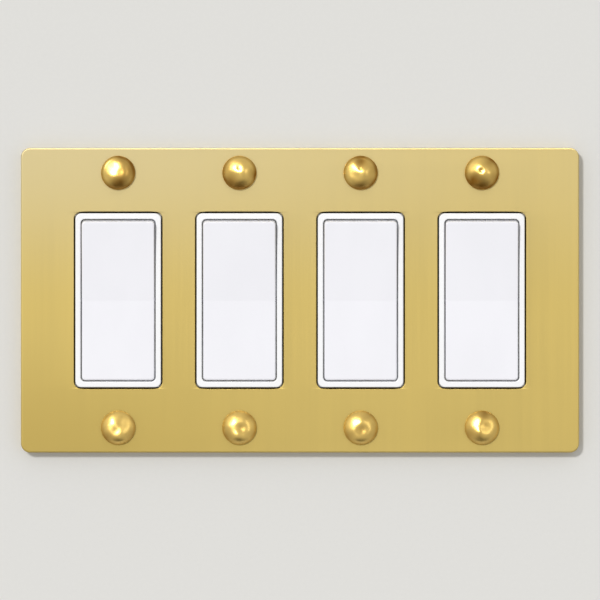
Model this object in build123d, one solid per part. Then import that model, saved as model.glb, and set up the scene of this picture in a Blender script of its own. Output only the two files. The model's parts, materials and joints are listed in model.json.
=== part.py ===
"""Four-gang rocker light switch with a brass wall plate, one STEP file for each piece.

Millimetres. +X points right, +Z points up and +Y points into the wall. The wall is the plane Y = 0, and the
origin is the middle of the back rim of the wall plate. Every switch is off: the lower half of each rocker is
pressed in and its contact is open.
"""
import math
import os

from build123d import *

# Row of switches
GANG_COUNT = 4
GANG_PITCH = 46.04

# Wall plate
PLATE_END_WIDTH = 73.9
PLATE_END_MARGIN = 9.48
PLATE_DEPTH = 5.6
PLATE_WEB = 1.8
PLATE_RIM = 2.5
PLATE_CORNER_RADIUS = 3.5
PLATE_EDGE_RADIUS = 0.6
OPENING_CLEARANCE = 0.55
OPENING_EDGE_RADIUS = 0.3

# Dome-headed plate screws
DOME_RADIUS = 6.5
DOME_RIM = 0.7
DOME_HEIGHT = 3.9
PLATE_SCREW_RADIUS = 1.7
PLATE_SCREW_CLEARANCE = 0.3
PLATE_SCREW_TAIL = 2.5

# Bezel
BEZEL_WIDTH = 32.5
BEZEL_HEIGHT = 66.1
BEZEL_PROUD = 0.6
BEZEL_SIDE_WALL = 2.0
BEZEL_END_WALL = 2.2
BEZEL_CORNER_RADIUS = 2.3
BEZEL_EDGE_RADIUS = 0.45
BEZEL_FLANGE = 1.4

# Rocker
ROCKER_THROW = 6.0
ROCKER_PROUD = 0.1
ROCKER_SIDE_CLEARANCE = 0.5
ROCKER_END_CLEARANCE = 0.35
ROCKER_BACK_CLEARANCE = 0.4
ROCKER_FACE = 1.8
ROCKER_WALL = 1.6
ROCKER_RIB = 1.2
ROCKER_CORNER_RADIUS = 1.2
ROCKER_EDGE_RADIUS = 0.7
TRUNNION_RADIUS = 1.1
TRUNNION_REACH = 0.95
TRUNNION_FLOOR = 0.2
RUNNING_CLEARANCE = 0.06

# Plunger and its spring in the post behind the rocker
POST_WALL = 1.5
POST_SETBACK = 5.8
BORE_FLOOR = 1.2
PLUNGER_RADIUS = 2.1
PLUNGER_NOSE_RADIUS = 1.2
PLUNGER_GUIDE = 5.5
PLUNGER_CLEARANCE = 0.1
SPRING_TURNS = 4
SPRING_WIRE = 0.5
SPRING_SIDE_CLEARANCE = 0.25
SPRING_END_CLEARANCE = 0.05

# Mounting strap
STRAP_THICKNESS = 1.2
STRAP_TONGUE_WIDTH = 20.0
STRAP_END = 4.8
STRAP_CORNER_RADIUS = 2.5
STRAP_WINDOW_WIDTH = 20.0
STRAP_WINDOW_HEIGHT = 44.0
STRAP_EAR_RADIUS = 5.0
STRAP_EAR_OFFSET = 2.2
STRAP_EAR_DROP = 1.4
RIVET_INSET = 2.25
BOX_SCREW_STEP = 6.37
PLATE_SCREW_STEP = 6.75
BOX_SLOT_WIDTH = 6.6
BOX_SLOT_HEIGHT = 3.9

# Earthing tab and screw
EARTH_TAB_WIDTH = 8.4
EARTH_TAB_LENGTH = 10.0
EARTH_SCREW_DEPTH = 5.5
EARTH_SCREW_LENGTH = 4.8

# Rear housing
HOUSING_INSET = 0.45
HOUSING_DEPTH = 23.0
HOUSING_WALL = 1.8
HOUSING_FLOOR = 2.0
HOUSING_CORNER_RADIUS = 2.0
HOUSING_EDGE_RADIUS = 1.0
HOUSING_DRAFT = 1.0
LUG_WIDTH = 13.0
LUG_THICKNESS = 3.0
LUG_MARGIN = 1.95
BARRIER_HEIGHT = 3.0
BARRIER_WIDTH = 1.2
WIRE_NOTCH_WIDTH = 2.2
WIRE_NOTCH_OFFSET = 3.3
GAUGE_LENGTH = 15.0
GAUGE_WIDTH = 1.8
GAUGE_DEPTH = 0.6

# Rocking contact arm and contacts
ARM_THROW = 12.0
ARM_RISE = 3.4
ARM_STOCK = 0.9
ARM_WIDTH = 7.0
ARM_REACH = 13.0
ARM_TEE_WIDTH = 12.8
ARM_TEE_LENGTH = 2.6
ARM_LUG_RADIUS = 0.6
EAR_THICKNESS = 0.8
EAR_HALF_WIDTH = 2.2
EAR_RISE = 0.9
EAR_SIDE_CLEARANCE = 0.4
CONTACT_INSET = 2.0
CONTACT_RADIUS = 1.8
CONTACT_EDGE = 0.4
CONTACT_CROWN = 0.4
CONTACT_SHANK_RADIUS = 0.9
CONTACT_TAIL_RADIUS = 1.3
CONTACT_TAIL = 0.3
CONTACT_CLEARANCE = 0.06
FIT_CLEARANCE = 0.03
STOP_CLEARANCE = 0.08
STOP_MARGIN = 0.8
STOP_SIDE_CLEARANCE = 0.5

# Terminals and their screws
TERMINAL_STOCK = 0.8
TERMINAL_STEP = 0.2
TERMINAL_WIDTH = 9.0
TERMINAL_INSET = 0.6
TERMINAL_TOP_MARGIN = 4.3
TERMINAL_SCREW_RISE = 8.0
TERMINAL_SCREW_RADIUS = 2.05
TERMINAL_SCREW_LENGTH = 6.0
TERMINAL_HEAD_RADIUS = 4.0
TERMINAL_HEAD_HEIGHT = 2.4
LOAD_MARGIN = 1.6
CLAMP_THICKNESS = 0.9
CLAMP_WIDTH = 8.0
WINDOW_CLEARANCE = 0.7
THREAD_CLEARANCE = 0.05
SEAT_CLEARANCE = 0.05

# Box screws, their washers and the rivets
BOX_SCREW_RADIUS = 1.75
BOX_SCREW_NECK_RADIUS = 1.45
BOX_SCREW_NECK = 2.4
BOX_SCREW_LENGTH = 25.4
BOX_HEAD_RADIUS = 3.4
BOX_HEAD_HEIGHT = 1.9
WASHER_RADIUS = 3.8
WASHER_THICKNESS = 0.8
SLOT_WIDTH = 0.9
SLOT_DEPTH = 0.9
RIVET_RADIUS = 1.2
RIVET_HEAD_RADIUS = 1.8
RIVET_HEAD_HEIGHT = 0.7

# Stations across the row and up from the middle of a switch
GANG_CENTRES = [(i - (GANG_COUNT - 1) / 2) * GANG_PITCH for i in range(GANG_COUNT)]
RIVET_HEIGHT = BEZEL_HEIGHT / 2 + RIVET_INSET
LUG_END = RIVET_HEIGHT + LUG_MARGIN
BOX_SCREW_HEIGHT = RIVET_HEIGHT + BOX_SCREW_STEP
PLATE_SCREW_HEIGHT = BOX_SCREW_HEIGHT + PLATE_SCREW_STEP
STRAP_HALF_LENGTH = PLATE_SCREW_HEIGHT + STRAP_END
PLATE_HEIGHT = 2 * (PLATE_SCREW_HEIGHT + PLATE_END_MARGIN)
PLATE_WIDTH = (GANG_COUNT - 1) * GANG_PITCH + PLATE_END_WIDTH

# Stations in depth, negative towards the room
PLATE_FRONT = -PLATE_DEPTH
STRAP_FRONT = -STRAP_THICKNESS
BEZEL_FRONT = PLATE_FRONT - BEZEL_PROUD
FLANGE_FRONT = STRAP_FRONT - BEZEL_FLANGE
PIVOT_DEPTH = STRAP_FRONT - TRUNNION_FLOOR - TRUNNION_RADIUS
FLOOR_DEPTH = HOUSING_DEPTH - HOUSING_FLOOR
TERMINAL_FRONT = FLOOR_DEPTH - TERMINAL_STOCK
TERMINAL_SCREW_DEPTH = FLOOR_DEPTH - TERMINAL_SCREW_RISE
ARM_PIVOT_DEPTH = TERMINAL_FRONT - ARM_RISE

# Rocker measured from its pivot axis, standing level
HALF_THROW = math.radians(ROCKER_THROW / 2)
ROCKER_FRONT = (BEZEL_FRONT - ROCKER_PROUD - PIVOT_DEPTH) / math.cos(HALF_THROW)
ROCKER_BACK = (STRAP_FRONT - ROCKER_BACK_CLEARANCE - PIVOT_DEPTH) / math.cos(HALF_THROW)
BEZEL_INNER_WIDTH = BEZEL_WIDTH - 2 * BEZEL_SIDE_WALL
BEZEL_INNER_HEIGHT = BEZEL_HEIGHT - 2 * BEZEL_END_WALL
ROCKER_WIDTH = BEZEL_INNER_WIDTH - 2 * ROCKER_SIDE_CLEARANCE
ROCKER_END_RADIUS = BEZEL_INNER_HEIGHT / 2 - ROCKER_END_CLEARANCE
TRUNNION_TIP = BEZEL_INNER_WIDTH / 2 + TRUNNION_REACH
BORE_RADIUS = PLUNGER_RADIUS + RUNNING_CLEARANCE
POST_RADIUS = BORE_RADIUS + POST_WALL
POST_END = ARM_PIVOT_DEPTH - POST_SETBACK - PIVOT_DEPTH
PLUNGER_TIP = ARM_PIVOT_DEPTH - ARM_STOCK / 2 - PLUNGER_CLEARANCE - PIVOT_DEPTH
PLUNGER_HEEL = POST_END - PLUNGER_GUIDE
SPRING_RADIUS = BORE_RADIUS - SPRING_SIDE_CLEARANCE - SPRING_WIRE / 2

# Contact arm measured from its own pivot axis, standing level
ARM_TILT = math.radians(ARM_THROW / 2)
CONTACT_OFFSET = ARM_REACH - CONTACT_INSET
CONTACT_SEAT = ARM_STOCK / 2
CONTACT_TOP = CONTACT_SEAT + CONTACT_EDGE + CONTACT_CROWN
CONTACT_BALL = (CONTACT_RADIUS**2 + CONTACT_CROWN**2) / (2 * CONTACT_CROWN)
CLOSED_LIFT = CONTACT_OFFSET * math.sin(ARM_TILT) + (CONTACT_TOP - CONTACT_BALL) * math.cos(ARM_TILT)
FIXED_CONTACT_FRONT = ARM_PIVOT_DEPTH + CLOSED_LIFT + CONTACT_BALL + CONTACT_CLEARANCE
STOP_NEAR = ARM_REACH - ARM_TEE_LENGTH
STOP_FAR = ARM_REACH - STOP_MARGIN
OPEN_LIFT = CONTACT_SEAT / math.cos(ARM_TILT) + STOP_FAR * math.tan(ARM_TILT)
STOP_FRONT = ARM_PIVOT_DEPTH + OPEN_LIFT + STOP_CLEARANCE

# Housing and terminals across a switch
HOUSING_WIDTH = BEZEL_WIDTH - 2 * HOUSING_INSET
HOUSING_HEIGHT = BEZEL_HEIGHT - 2 * HOUSING_INSET
CAVITY_HALF_WIDTH = HOUSING_WIDTH / 2 - HOUSING_WALL
EAR_INNER = ARM_WIDTH / 2 + EAR_SIDE_CLEARANCE
EAR_OUTER = EAR_INNER + EAR_THICKNESS
TERMINAL_OFFSET = ARM_REACH + TERMINAL_STEP + TERMINAL_WIDTH / 2
TERMINAL_NEAR = TERMINAL_OFFSET - TERMINAL_WIDTH / 2
TERMINAL_FAR = TERMINAL_OFFSET + TERMINAL_WIDTH / 2
TERMINAL_FACE = CAVITY_HALF_WIDTH - TERMINAL_INSET
LOAD_REACH = CONTACT_RADIUS + LOAD_MARGIN
CLAMP_BACK = TERMINAL_FACE + SEAT_CLEARANCE
HEAD_SEAT = CLAMP_BACK + CLAMP_THICKNESS
EARTH_TAB_FACE = -STRAP_TONGUE_WIDTH / 2


def slab(sketch, back, front):
    """Solid between two depths from a sketch drawn as seen from the room."""
    plane = Plane((0, back, 0), x_dir=(1, 0, 0), z_dir=(0, -1, 0))
    return extrude(plane * sketch, amount=back - front)


def block(x, y, z):
    """Box between pairs of limits, given in either order."""
    size = [abs(b - a) for a, b in (x, y, z)]
    middle = [(a + b) / 2 for a, b in (x, y, z)]
    return Pos(*middle) * Box(*size)


def hole(radius, back, front, x, z):
    """Round cutter between two depths."""
    return slab(Pos(x, z) * Circle(radius), back, front)


def side_bar(radius, start, end, depth, height):
    """Round bar along X."""
    bar = Cylinder(radius, abs(end - start))
    return Pos((start + end) / 2, depth, height) * Rot(0, 90, 0) * bar


def turned(*lines):
    """Solid turned about Z from lines drawn as (radius, height)."""
    return revolve(Plane.XZ * make_face(lines), Axis.Z)


def domed(radius, edge, top):
    """Arc of a shallow dome from its crown on the axis to its edge."""
    crown = top - edge
    ball = (radius**2 + crown**2) / (2 * crown)
    half_angle = math.atan2(radius, ball - crown) / 2
    midway = (ball * math.sin(half_angle), top - ball + ball * math.cos(half_angle))
    return ThreePointArc((0, top), midway, (radius, edge))


def slotted_screw(head_radius, head_height, shank):
    """Slotted screw seated at the origin with its head up; shank lists (radius, depth) below the head."""
    outline = [(0, head_height), (0.75 * head_radius, head_height), (head_radius, head_height / 2), (head_radius, 0)]
    height = 0
    for radius, depth in shank:
        outline += [(radius, -height), (radius, -depth)]
        height = depth
    outline += [(0, -height), (0, head_height)]
    slot = Pos(0, 0, head_height - SLOT_DEPTH / 2) * Box(2 * head_radius, SLOT_WIDTH, SLOT_DEPTH)
    return turned(Polyline(*outline)) - slot


def wall_plate():
    """Brass plate, hollow behind, with an opening for each switch and a hole for each screw."""
    plate = slab(RectangleRounded(PLATE_WIDTH, PLATE_HEIGHT, PLATE_CORNER_RADIUS), 0, PLATE_FRONT)
    plate = fillet(plate.faces().sort_by(Axis.Y)[0].edges(), PLATE_EDGE_RADIUS)
    hollow = Rectangle(PLATE_WIDTH - 2 * PLATE_RIM, PLATE_HEIGHT - 2 * PLATE_RIM)
    plate -= slab(hollow, 0, PLATE_FRONT + PLATE_WEB)
    opening = RectangleRounded(
        BEZEL_WIDTH + 2 * OPENING_CLEARANCE,
        BEZEL_HEIGHT + 2 * OPENING_CLEARANCE,
        BEZEL_CORNER_RADIUS + OPENING_CLEARANCE,
    )
    for x in GANG_CENTRES:
        plate -= slab(Pos(x, 0) * opening, 0, PLATE_FRONT)
    rims = plate.faces().sort_by(Axis.Y)[0].inner_wires()
    plate = fillet([edge for rim in rims for edge in rim.edges()], OPENING_EDGE_RADIUS)
    for x in GANG_CENTRES:
        for z in (PLATE_SCREW_HEIGHT, -PLATE_SCREW_HEIGHT):
            plate -= hole(PLATE_SCREW_RADIUS + PLATE_SCREW_CLEARANCE, 0, PLATE_FRONT, x, z)
    return plate


def dome_screw():
    """Brass plate screw with a smooth domed head, seated at the origin with its head up."""
    tail = PLATE_DEPTH + PLATE_SCREW_TAIL
    tip = PLATE_SCREW_RADIUS / 3
    below = Polyline(
        (DOME_RADIUS, DOME_RIM),
        (DOME_RADIUS, 0),
        (PLATE_SCREW_RADIUS, 0),
        (PLATE_SCREW_RADIUS, tip - tail),
        (PLATE_SCREW_RADIUS - tip, -tail),
        (0, -tail),
        (0, DOME_HEIGHT),
    )
    return turned(domed(DOME_RADIUS, DOME_RIM, DOME_HEIGHT), below)


def bezel():
    """White frame round the rocker, with end flanges behind the plate and notches for the trunnions."""
    outside = RectangleRounded(BEZEL_WIDTH, BEZEL_HEIGHT, BEZEL_CORNER_RADIUS)
    inside_radius = ROCKER_CORNER_RADIUS + ROCKER_SIDE_CLEARANCE
    inside = RectangleRounded(BEZEL_INNER_WIDTH, BEZEL_INNER_HEIGHT, inside_radius)
    frame = slab(outside - inside, STRAP_FRONT, BEZEL_FRONT)
    frame = fillet(frame.faces().sort_by(Axis.Y)[0].edges(), BEZEL_EDGE_RADIUS)
    for side in (1, -1):
        reach = (side * (BEZEL_HEIGHT - BEZEL_END_WALL) / 2, side * LUG_END)
        frame += block((-LUG_WIDTH / 2, LUG_WIDTH / 2), (FLANGE_FRONT, STRAP_FRONT), reach)
        frame -= hole(RIVET_RADIUS + FIT_CLEARANCE, STRAP_FRONT, FLANGE_FRONT, 0, side * RIVET_HEIGHT)
    radius = TRUNNION_RADIUS + RUNNING_CLEARANCE
    end = TRUNNION_TIP + RUNNING_CLEARANCE
    frame -= side_bar(radius, -end, end, PIVOT_DEPTH, 0)
    return frame - block((-end, end), (PIVOT_DEPTH, STRAP_FRONT), (-radius, radius))


def rocker_half_section(front, back, radius):
    """Upper half of the rocker's side view: straight front and back, and an end struck from the pivot."""
    rises = [HALF_THROW + math.asin(-y * math.cos(HALF_THROW) / radius) for y in (front, back)]
    rises.insert(1, sum(rises) / 2)
    tip, middle, heel = [(-radius * math.sin(rise), radius * math.cos(rise)) for rise in rises]
    return Plane.YZ * make_face([Polyline(heel, (back, 0), (front, 0), tip), ThreePointArc(tip, middle, heel)])


def rocker():
    """White rocker about its pivot axis, level, with trunnions, ribs and a hollow post behind."""
    section = rocker_half_section(ROCKER_FRONT, ROCKER_BACK, ROCKER_END_RADIUS)
    half = extrude(section, ROCKER_WIDTH / 2, both=True)
    half = fillet(half.edges().filter_by(GeomType.CIRCLE), ROCKER_CORNER_RADIUS)
    face = [f for f in half.faces().filter_by(GeomType.PLANE) if f.normal_at().Y < -0.5][0]
    half = fillet([e for e in face.edges() if e.center().Z > ROCKER_EDGE_RADIUS], ROCKER_EDGE_RADIUS)
    cavity = rocker_half_section(ROCKER_FRONT + ROCKER_FACE, 2 * ROCKER_BACK, ROCKER_END_RADIUS - ROCKER_WALL)
    inner_half_width = ROCKER_WIDTH / 2 - ROCKER_WALL
    half -= extrude(cavity, inner_half_width, both=True)
    body = half + mirror(half, Plane.XY)
    root = ROCKER_FRONT + ROCKER_FACE / 2
    body += block((-inner_half_width, inner_half_width), (root, 0), (-ROCKER_RIB / 2, ROCKER_RIB / 2))
    rib_end = (ROCKER_END_RADIUS - ROCKER_WALL) * math.cos(2 * HALF_THROW)
    body += block((-ROCKER_RIB / 2, ROCKER_RIB / 2), (root, 0.6 * root), (-rib_end, rib_end))
    for side in (1, -1):
        body += side_bar(TRUNNION_RADIUS, side * inner_half_width, side * TRUNNION_TIP, 0, 0)
    body += hole(POST_RADIUS, POST_END, root, 0, 0)
    return body - hole(BORE_RADIUS, POST_END, BORE_FLOOR, 0, 0)


def plunger():
    """Nylon plunger on the post's axis, about the rocker's pivot."""
    nose = PLUNGER_NOSE_RADIUS
    bend = nose * math.sqrt(0.5)
    outline = Polyline(
        (nose, PLUNGER_TIP - nose),
        (nose, POST_END),
        (PLUNGER_RADIUS, POST_END),
        (PLUNGER_RADIUS, PLUNGER_HEEL),
        (0, PLUNGER_HEEL),
        (0, PLUNGER_TIP),
    )
    tip = ThreePointArc((0, PLUNGER_TIP), (bend, PLUNGER_TIP - nose + bend), (nose, PLUNGER_TIP - nose))
    return Rot(-90, 0, 0) * turned(outline, tip)


def plunger_spring():
    """Square-wire spring between the floor of the bore and the plunger, about the rocker's pivot."""
    margin = SPRING_END_CLEARANCE + SPRING_WIRE / 2
    start = BORE_FLOOR + margin
    length = PLUNGER_HEEL - margin - start
    coil = Helix(length / SPRING_TURNS, length, SPRING_RADIUS)
    wire = Plane(coil @ 0, x_dir=(1, 0, 0), z_dir=coil % 0) * Rectangle(SPRING_WIRE, SPRING_WIRE)
    return Pos(0, start, 0) * Rot(-90, 0, 0) * sweep(wire, coil, is_frenet=True)


def mounting_strap():
    """Steel strap with plaster ears, slots for the box screws and a tab bent back for the earthing screw."""
    plan = RectangleRounded(BEZEL_WIDTH, 2 * LUG_END, STRAP_CORNER_RADIUS)
    plan += RectangleRounded(STRAP_TONGUE_WIDTH, 2 * STRAP_HALF_LENGTH, STRAP_CORNER_RADIUS)
    ear_x = STRAP_TONGUE_WIDTH / 2 + STRAP_EAR_OFFSET
    ear_z = PLATE_SCREW_HEIGHT - STRAP_EAR_DROP
    for x in (ear_x, -ear_x):
        for z in (ear_z, -ear_z):
            plan += Pos(x, z) * Circle(STRAP_EAR_RADIUS)
    plan -= RectangleRounded(STRAP_WINDOW_WIDTH, STRAP_WINDOW_HEIGHT, STRAP_CORNER_RADIUS)
    for side in (1, -1):
        plan -= Pos(0, side * RIVET_HEIGHT) * Circle(RIVET_RADIUS + FIT_CLEARANCE)
        plan -= Pos(0, side * BOX_SCREW_HEIGHT) * SlotOverall(BOX_SLOT_WIDTH, BOX_SLOT_HEIGHT)
        plan -= Pos(0, side * PLATE_SCREW_HEIGHT) * Circle(PLATE_SCREW_RADIUS + THREAD_CLEARANCE)
    strap = slab(plan, 0, STRAP_FRONT)
    tab_back = EARTH_TAB_FACE + STRAP_THICKNESS
    spread = (-BOX_SCREW_HEIGHT - EARTH_TAB_WIDTH / 2, -BOX_SCREW_HEIGHT + EARTH_TAB_WIDTH / 2)
    strap += block((EARTH_TAB_FACE, tab_back), (STRAP_FRONT, EARTH_TAB_LENGTH), spread)
    tapped = TERMINAL_SCREW_RADIUS + THREAD_CLEARANCE
    return strap - side_bar(tapped, EARTH_TAB_FACE, tab_back, EARTH_SCREW_DEPTH, -BOX_SCREW_HEIGHT)


def wire_notch(height):
    """Plan of the notch that leads a wire from the back of the housing to its clamp plate."""
    radius = WIRE_NOTCH_WIDTH / 2
    middle = TERMINAL_FACE + radius
    reach = HOUSING_WIDTH / 2 - middle
    round_end = Pos(middle, height) * Circle(radius)
    return round_end + Pos(middle + reach / 2, height) * Rectangle(reach, WIRE_NOTCH_WIDTH)


def rear_housing():
    """Drafted box behind the strap, with riveting lugs, terminal windows, a barrier and stops for the arm."""
    outside = RectangleRounded(HOUSING_WIDTH, HOUSING_HEIGHT, HOUSING_CORNER_RADIUS)
    mouth = Plane((0, 0, 0), x_dir=(1, 0, 0), z_dir=(0, 1, 0))
    shell = extrude(mouth * outside, amount=HOUSING_DEPTH, taper=HOUSING_DRAFT)
    shell = fillet(shell.faces().sort_by(Axis.Y)[-1].edges(), HOUSING_EDGE_RADIUS)
    gauge = SlotOverall(GAUGE_LENGTH, GAUGE_WIDTH, rotation=90)
    shell -= slab(gauge, HOUSING_DEPTH, HOUSING_DEPTH - GAUGE_DEPTH)
    cavity_height = HOUSING_HEIGHT - 2 * HOUSING_WALL
    shell -= slab(Rectangle(2 * CAVITY_HALF_WIDTH, cavity_height), FLOOR_DEPTH, 0)
    for side in (1, -1):
        reach = (side * (HOUSING_HEIGHT - HOUSING_WALL) / 2, side * LUG_END)
        shell += block((-LUG_WIDTH / 2, LUG_WIDTH / 2), (0, LUG_THICKNESS), reach)
        shell -= hole(RIVET_RADIUS + FIT_CLEARANCE, LUG_THICKNESS, 0, 0, side * RIVET_HEIGHT)
    window_half_depth = TERMINAL_HEAD_RADIUS + WINDOW_CLEARANCE
    depths = (TERMINAL_SCREW_DEPTH - window_half_depth, TERMINAL_SCREW_DEPTH + window_half_depth)
    for side in (1, -1):
        heights = (side * (TERMINAL_NEAR - WINDOW_CLEARANCE), side * (TERMINAL_FAR + WINDOW_CLEARANCE))
        shell -= block((CAVITY_HALF_WIDTH, HOUSING_WIDTH / 2), depths, heights)
        for offset in (WIRE_NOTCH_OFFSET, -WIRE_NOTCH_OFFSET):
            notch = wire_notch(side * TERMINAL_OFFSET + offset)
            shell -= slab(notch, HOUSING_DEPTH, TERMINAL_SCREW_DEPTH)
    barrier = -(EAR_HALF_WIDTH + CONTACT_OFFSET - LOAD_REACH) / 2
    barrier_span = (barrier - BARRIER_WIDTH / 2, barrier + BARRIER_WIDTH / 2)
    barrier_depths = (FLOOR_DEPTH - BARRIER_HEIGHT, FLOOR_DEPTH)
    shell += block((-CAVITY_HALF_WIDTH, CAVITY_HALF_WIDTH), barrier_depths, barrier_span)
    for side in (1, -1):
        stop_span = (side * (EAR_OUTER + STOP_SIDE_CLEARANCE), side * ARM_TEE_WIDTH / 2)
        shell += block(stop_span, (STOP_FRONT, FLOOR_DEPTH), (STOP_NEAR, STOP_FAR))
    return shell


def terminal_upright(side):
    """Tapped plate of a terminal, standing up from the floor beside the housing's window."""
    span = (TERMINAL_FACE - TERMINAL_STOCK, TERMINAL_FACE)
    top = TERMINAL_SCREW_DEPTH - TERMINAL_TOP_MARGIN
    plate = block(span, (top, FLOOR_DEPTH), (side * TERMINAL_NEAR, side * TERMINAL_FAR))
    tapped = TERMINAL_SCREW_RADIUS + THREAD_CLEARANCE
    return plate - side_bar(tapped, *span, TERMINAL_SCREW_DEPTH, side * TERMINAL_OFFSET)


def common_terminal():
    """Brass terminal whose two notched ears carry the contact arm."""
    floor = (TERMINAL_FRONT, FLOOR_DEPTH)
    strip = block((-EAR_OUTER, EAR_OUTER), floor, (-EAR_HALF_WIDTH, TERMINAL_NEAR))
    strip += block((-EAR_OUTER, TERMINAL_FACE), floor, (TERMINAL_NEAR, TERMINAL_FAR))
    strip += terminal_upright(1)
    top = ARM_PIVOT_DEPTH - EAR_RISE
    notch = ARM_LUG_RADIUS + RUNNING_CLEARANCE
    for side in (1, -1):
        span = (side * EAR_INNER, side * EAR_OUTER)
        ear = block(span, (top, FLOOR_DEPTH), (-EAR_HALF_WIDTH, EAR_HALF_WIDTH))
        ear -= side_bar(notch, *span, ARM_PIVOT_DEPTH, 0)
        strip += ear - block(span, (top, ARM_PIVOT_DEPTH), (-notch, notch))
    return strip


def load_terminal():
    """Brass terminal that carries the fixed contact."""
    heights = (-TERMINAL_FAR, LOAD_REACH - CONTACT_OFFSET)
    strip = block((-LOAD_REACH, TERMINAL_FACE), (TERMINAL_FRONT, FLOOR_DEPTH), heights)
    strip += terminal_upright(-1)
    return strip - hole(CONTACT_SHANK_RADIUS + FIT_CLEARANCE, FLOOR_DEPTH, TERMINAL_FRONT, 0, -CONTACT_OFFSET)


def fixed_contact():
    """Contact rivet in the load terminal."""
    head = FLOOR_DEPTH - FIXED_CONTACT_FRONT
    outline = Polyline(
        (0, 0),
        (CONTACT_SHANK_RADIUS, 0),
        (CONTACT_SHANK_RADIUS, TERMINAL_STOCK),
        (CONTACT_RADIUS, TERMINAL_STOCK),
        (CONTACT_RADIUS, head),
        (0, head),
        close=True,
    )
    return Pos(0, FLOOR_DEPTH, -CONTACT_OFFSET) * Rot(90, 0, 0) * turned(outline)


def contact_arm():
    """Rocking arm about its pivot axis, level, with round lugs and a wide upper end that meets the stops."""
    plan = Rectangle(ARM_WIDTH, 2 * ARM_REACH)
    plan += Pos(0, ARM_REACH - ARM_TEE_LENGTH / 2) * Rectangle(ARM_TEE_WIDTH, ARM_TEE_LENGTH)
    plan -= Pos(0, -CONTACT_OFFSET) * Circle(CONTACT_SHANK_RADIUS + FIT_CLEARANCE)
    arm = slab(plan, CONTACT_SEAT, -CONTACT_SEAT)
    for side in (1, -1):
        arm += side_bar(ARM_LUG_RADIUS, side * (ARM_WIDTH / 2 - ARM_STOCK), side * EAR_OUTER, 0, 0)
    return arm


def moving_contact():
    """Contact rivet in the lower end of the arm, about the arm's pivot axis."""
    outline = Polyline(
        (CONTACT_RADIUS, CONTACT_SEAT + CONTACT_EDGE),
        (CONTACT_RADIUS, CONTACT_SEAT),
        (CONTACT_SHANK_RADIUS, CONTACT_SEAT),
        (CONTACT_SHANK_RADIUS, -CONTACT_SEAT),
        (CONTACT_TAIL_RADIUS, -CONTACT_SEAT),
        (CONTACT_TAIL_RADIUS, -CONTACT_SEAT - CONTACT_TAIL),
        (0, -CONTACT_SEAT - CONTACT_TAIL),
        (0, CONTACT_TOP),
    )
    crown = domed(CONTACT_RADIUS, CONTACT_SEAT + CONTACT_EDGE, CONTACT_TOP)
    return Pos(0, 0, -CONTACT_OFFSET) * Rot(-90, 0, 0) * turned(crown, outline)


def terminal_screws():
    """Two slotted screws in the side of a switch, heads to the right."""
    shank = [(TERMINAL_SCREW_RADIUS, TERMINAL_SCREW_LENGTH)]
    screw = slotted_screw(TERMINAL_HEAD_RADIUS, TERMINAL_HEAD_HEIGHT, shank)
    places = [(HEAD_SEAT, TERMINAL_SCREW_DEPTH, side * TERMINAL_OFFSET) for side in (1, -1)]
    return [Pos(*place) * Rot(0, 90, 0) * screw for place in places]


def clamp_plates():
    """Two square plates that press the wires against the terminals."""
    plates = []
    half = CLAMP_WIDTH / 2
    for side in (1, -1):
        height = side * TERMINAL_OFFSET
        depths = (TERMINAL_SCREW_DEPTH - half, TERMINAL_SCREW_DEPTH + half)
        plate = block((CLAMP_BACK, HEAD_SEAT), depths, (height - half, height + half))
        bore = TERMINAL_SCREW_RADIUS + THREAD_CLEARANCE
        plates.append(plate - side_bar(bore, CLAMP_BACK, HEAD_SEAT, TERMINAL_SCREW_DEPTH, height))
    return plates


def earth_screw():
    """Slotted screw in the strap's bent tab, head to the left."""
    shank = [(TERMINAL_SCREW_RADIUS, EARTH_SCREW_LENGTH)]
    screw = slotted_screw(TERMINAL_HEAD_RADIUS, TERMINAL_HEAD_HEIGHT, shank)
    return [Pos(EARTH_TAB_FACE, EARTH_SCREW_DEPTH, -BOX_SCREW_HEIGHT) * Rot(0, -90, 0) * screw]


def box_screws():
    """Two screws that hold a strap to the box in the wall, necked where the strap and washer sit."""
    shank = [(BOX_SCREW_NECK_RADIUS, BOX_SCREW_NECK), (BOX_SCREW_RADIUS, BOX_SCREW_LENGTH)]
    screw = Rot(90, 0, 0) * slotted_screw(BOX_HEAD_RADIUS, BOX_HEAD_HEIGHT, shank)
    return [Pos(0, STRAP_FRONT, z) * screw for z in (BOX_SCREW_HEIGHT, -BOX_SCREW_HEIGHT)]


def screw_washers():
    """Two fibre washers that keep the box screws in the strap."""
    ring = Circle(WASHER_RADIUS) - Circle(BOX_SCREW_NECK_RADIUS + THREAD_CLEARANCE)
    washer = slab(ring, WASHER_THICKNESS, 0)
    return [Pos(0, 0, z) * washer for z in (BOX_SCREW_HEIGHT, -BOX_SCREW_HEIGHT)]


def strap_rivets():
    """Two rivets that clamp the bezel's flange, the strap and the housing's lug together."""
    grip = LUG_THICKNESS - FLANGE_FRONT
    outline = Polyline(
        (0, RIVET_HEAD_HEIGHT),
        (RIVET_HEAD_RADIUS, RIVET_HEAD_HEIGHT),
        (RIVET_HEAD_RADIUS, 0),
        (RIVET_RADIUS, 0),
        (RIVET_RADIUS, -grip),
        (RIVET_HEAD_RADIUS, -grip),
        (RIVET_HEAD_RADIUS, -grip - RIVET_HEAD_HEIGHT),
        (0, -grip - RIVET_HEAD_HEIGHT),
        close=True,
    )
    rivet = Rot(90, 0, 0) * turned(outline)
    return [Pos(0, FLANGE_FRONT, z) * rivet for z in (RIVET_HEIGHT, -RIVET_HEIGHT)]


def plate_screws():
    """Two dome-headed screws of a switch, seated on the front of the plate."""
    screw = Rot(90, 0, 0) * dome_screw()
    return [Pos(0, PLATE_FRONT, z) * screw for z in (PLATE_SCREW_HEIGHT, -PLATE_SCREW_HEIGHT)]


os.makedirs("parts", exist_ok=True)

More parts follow.
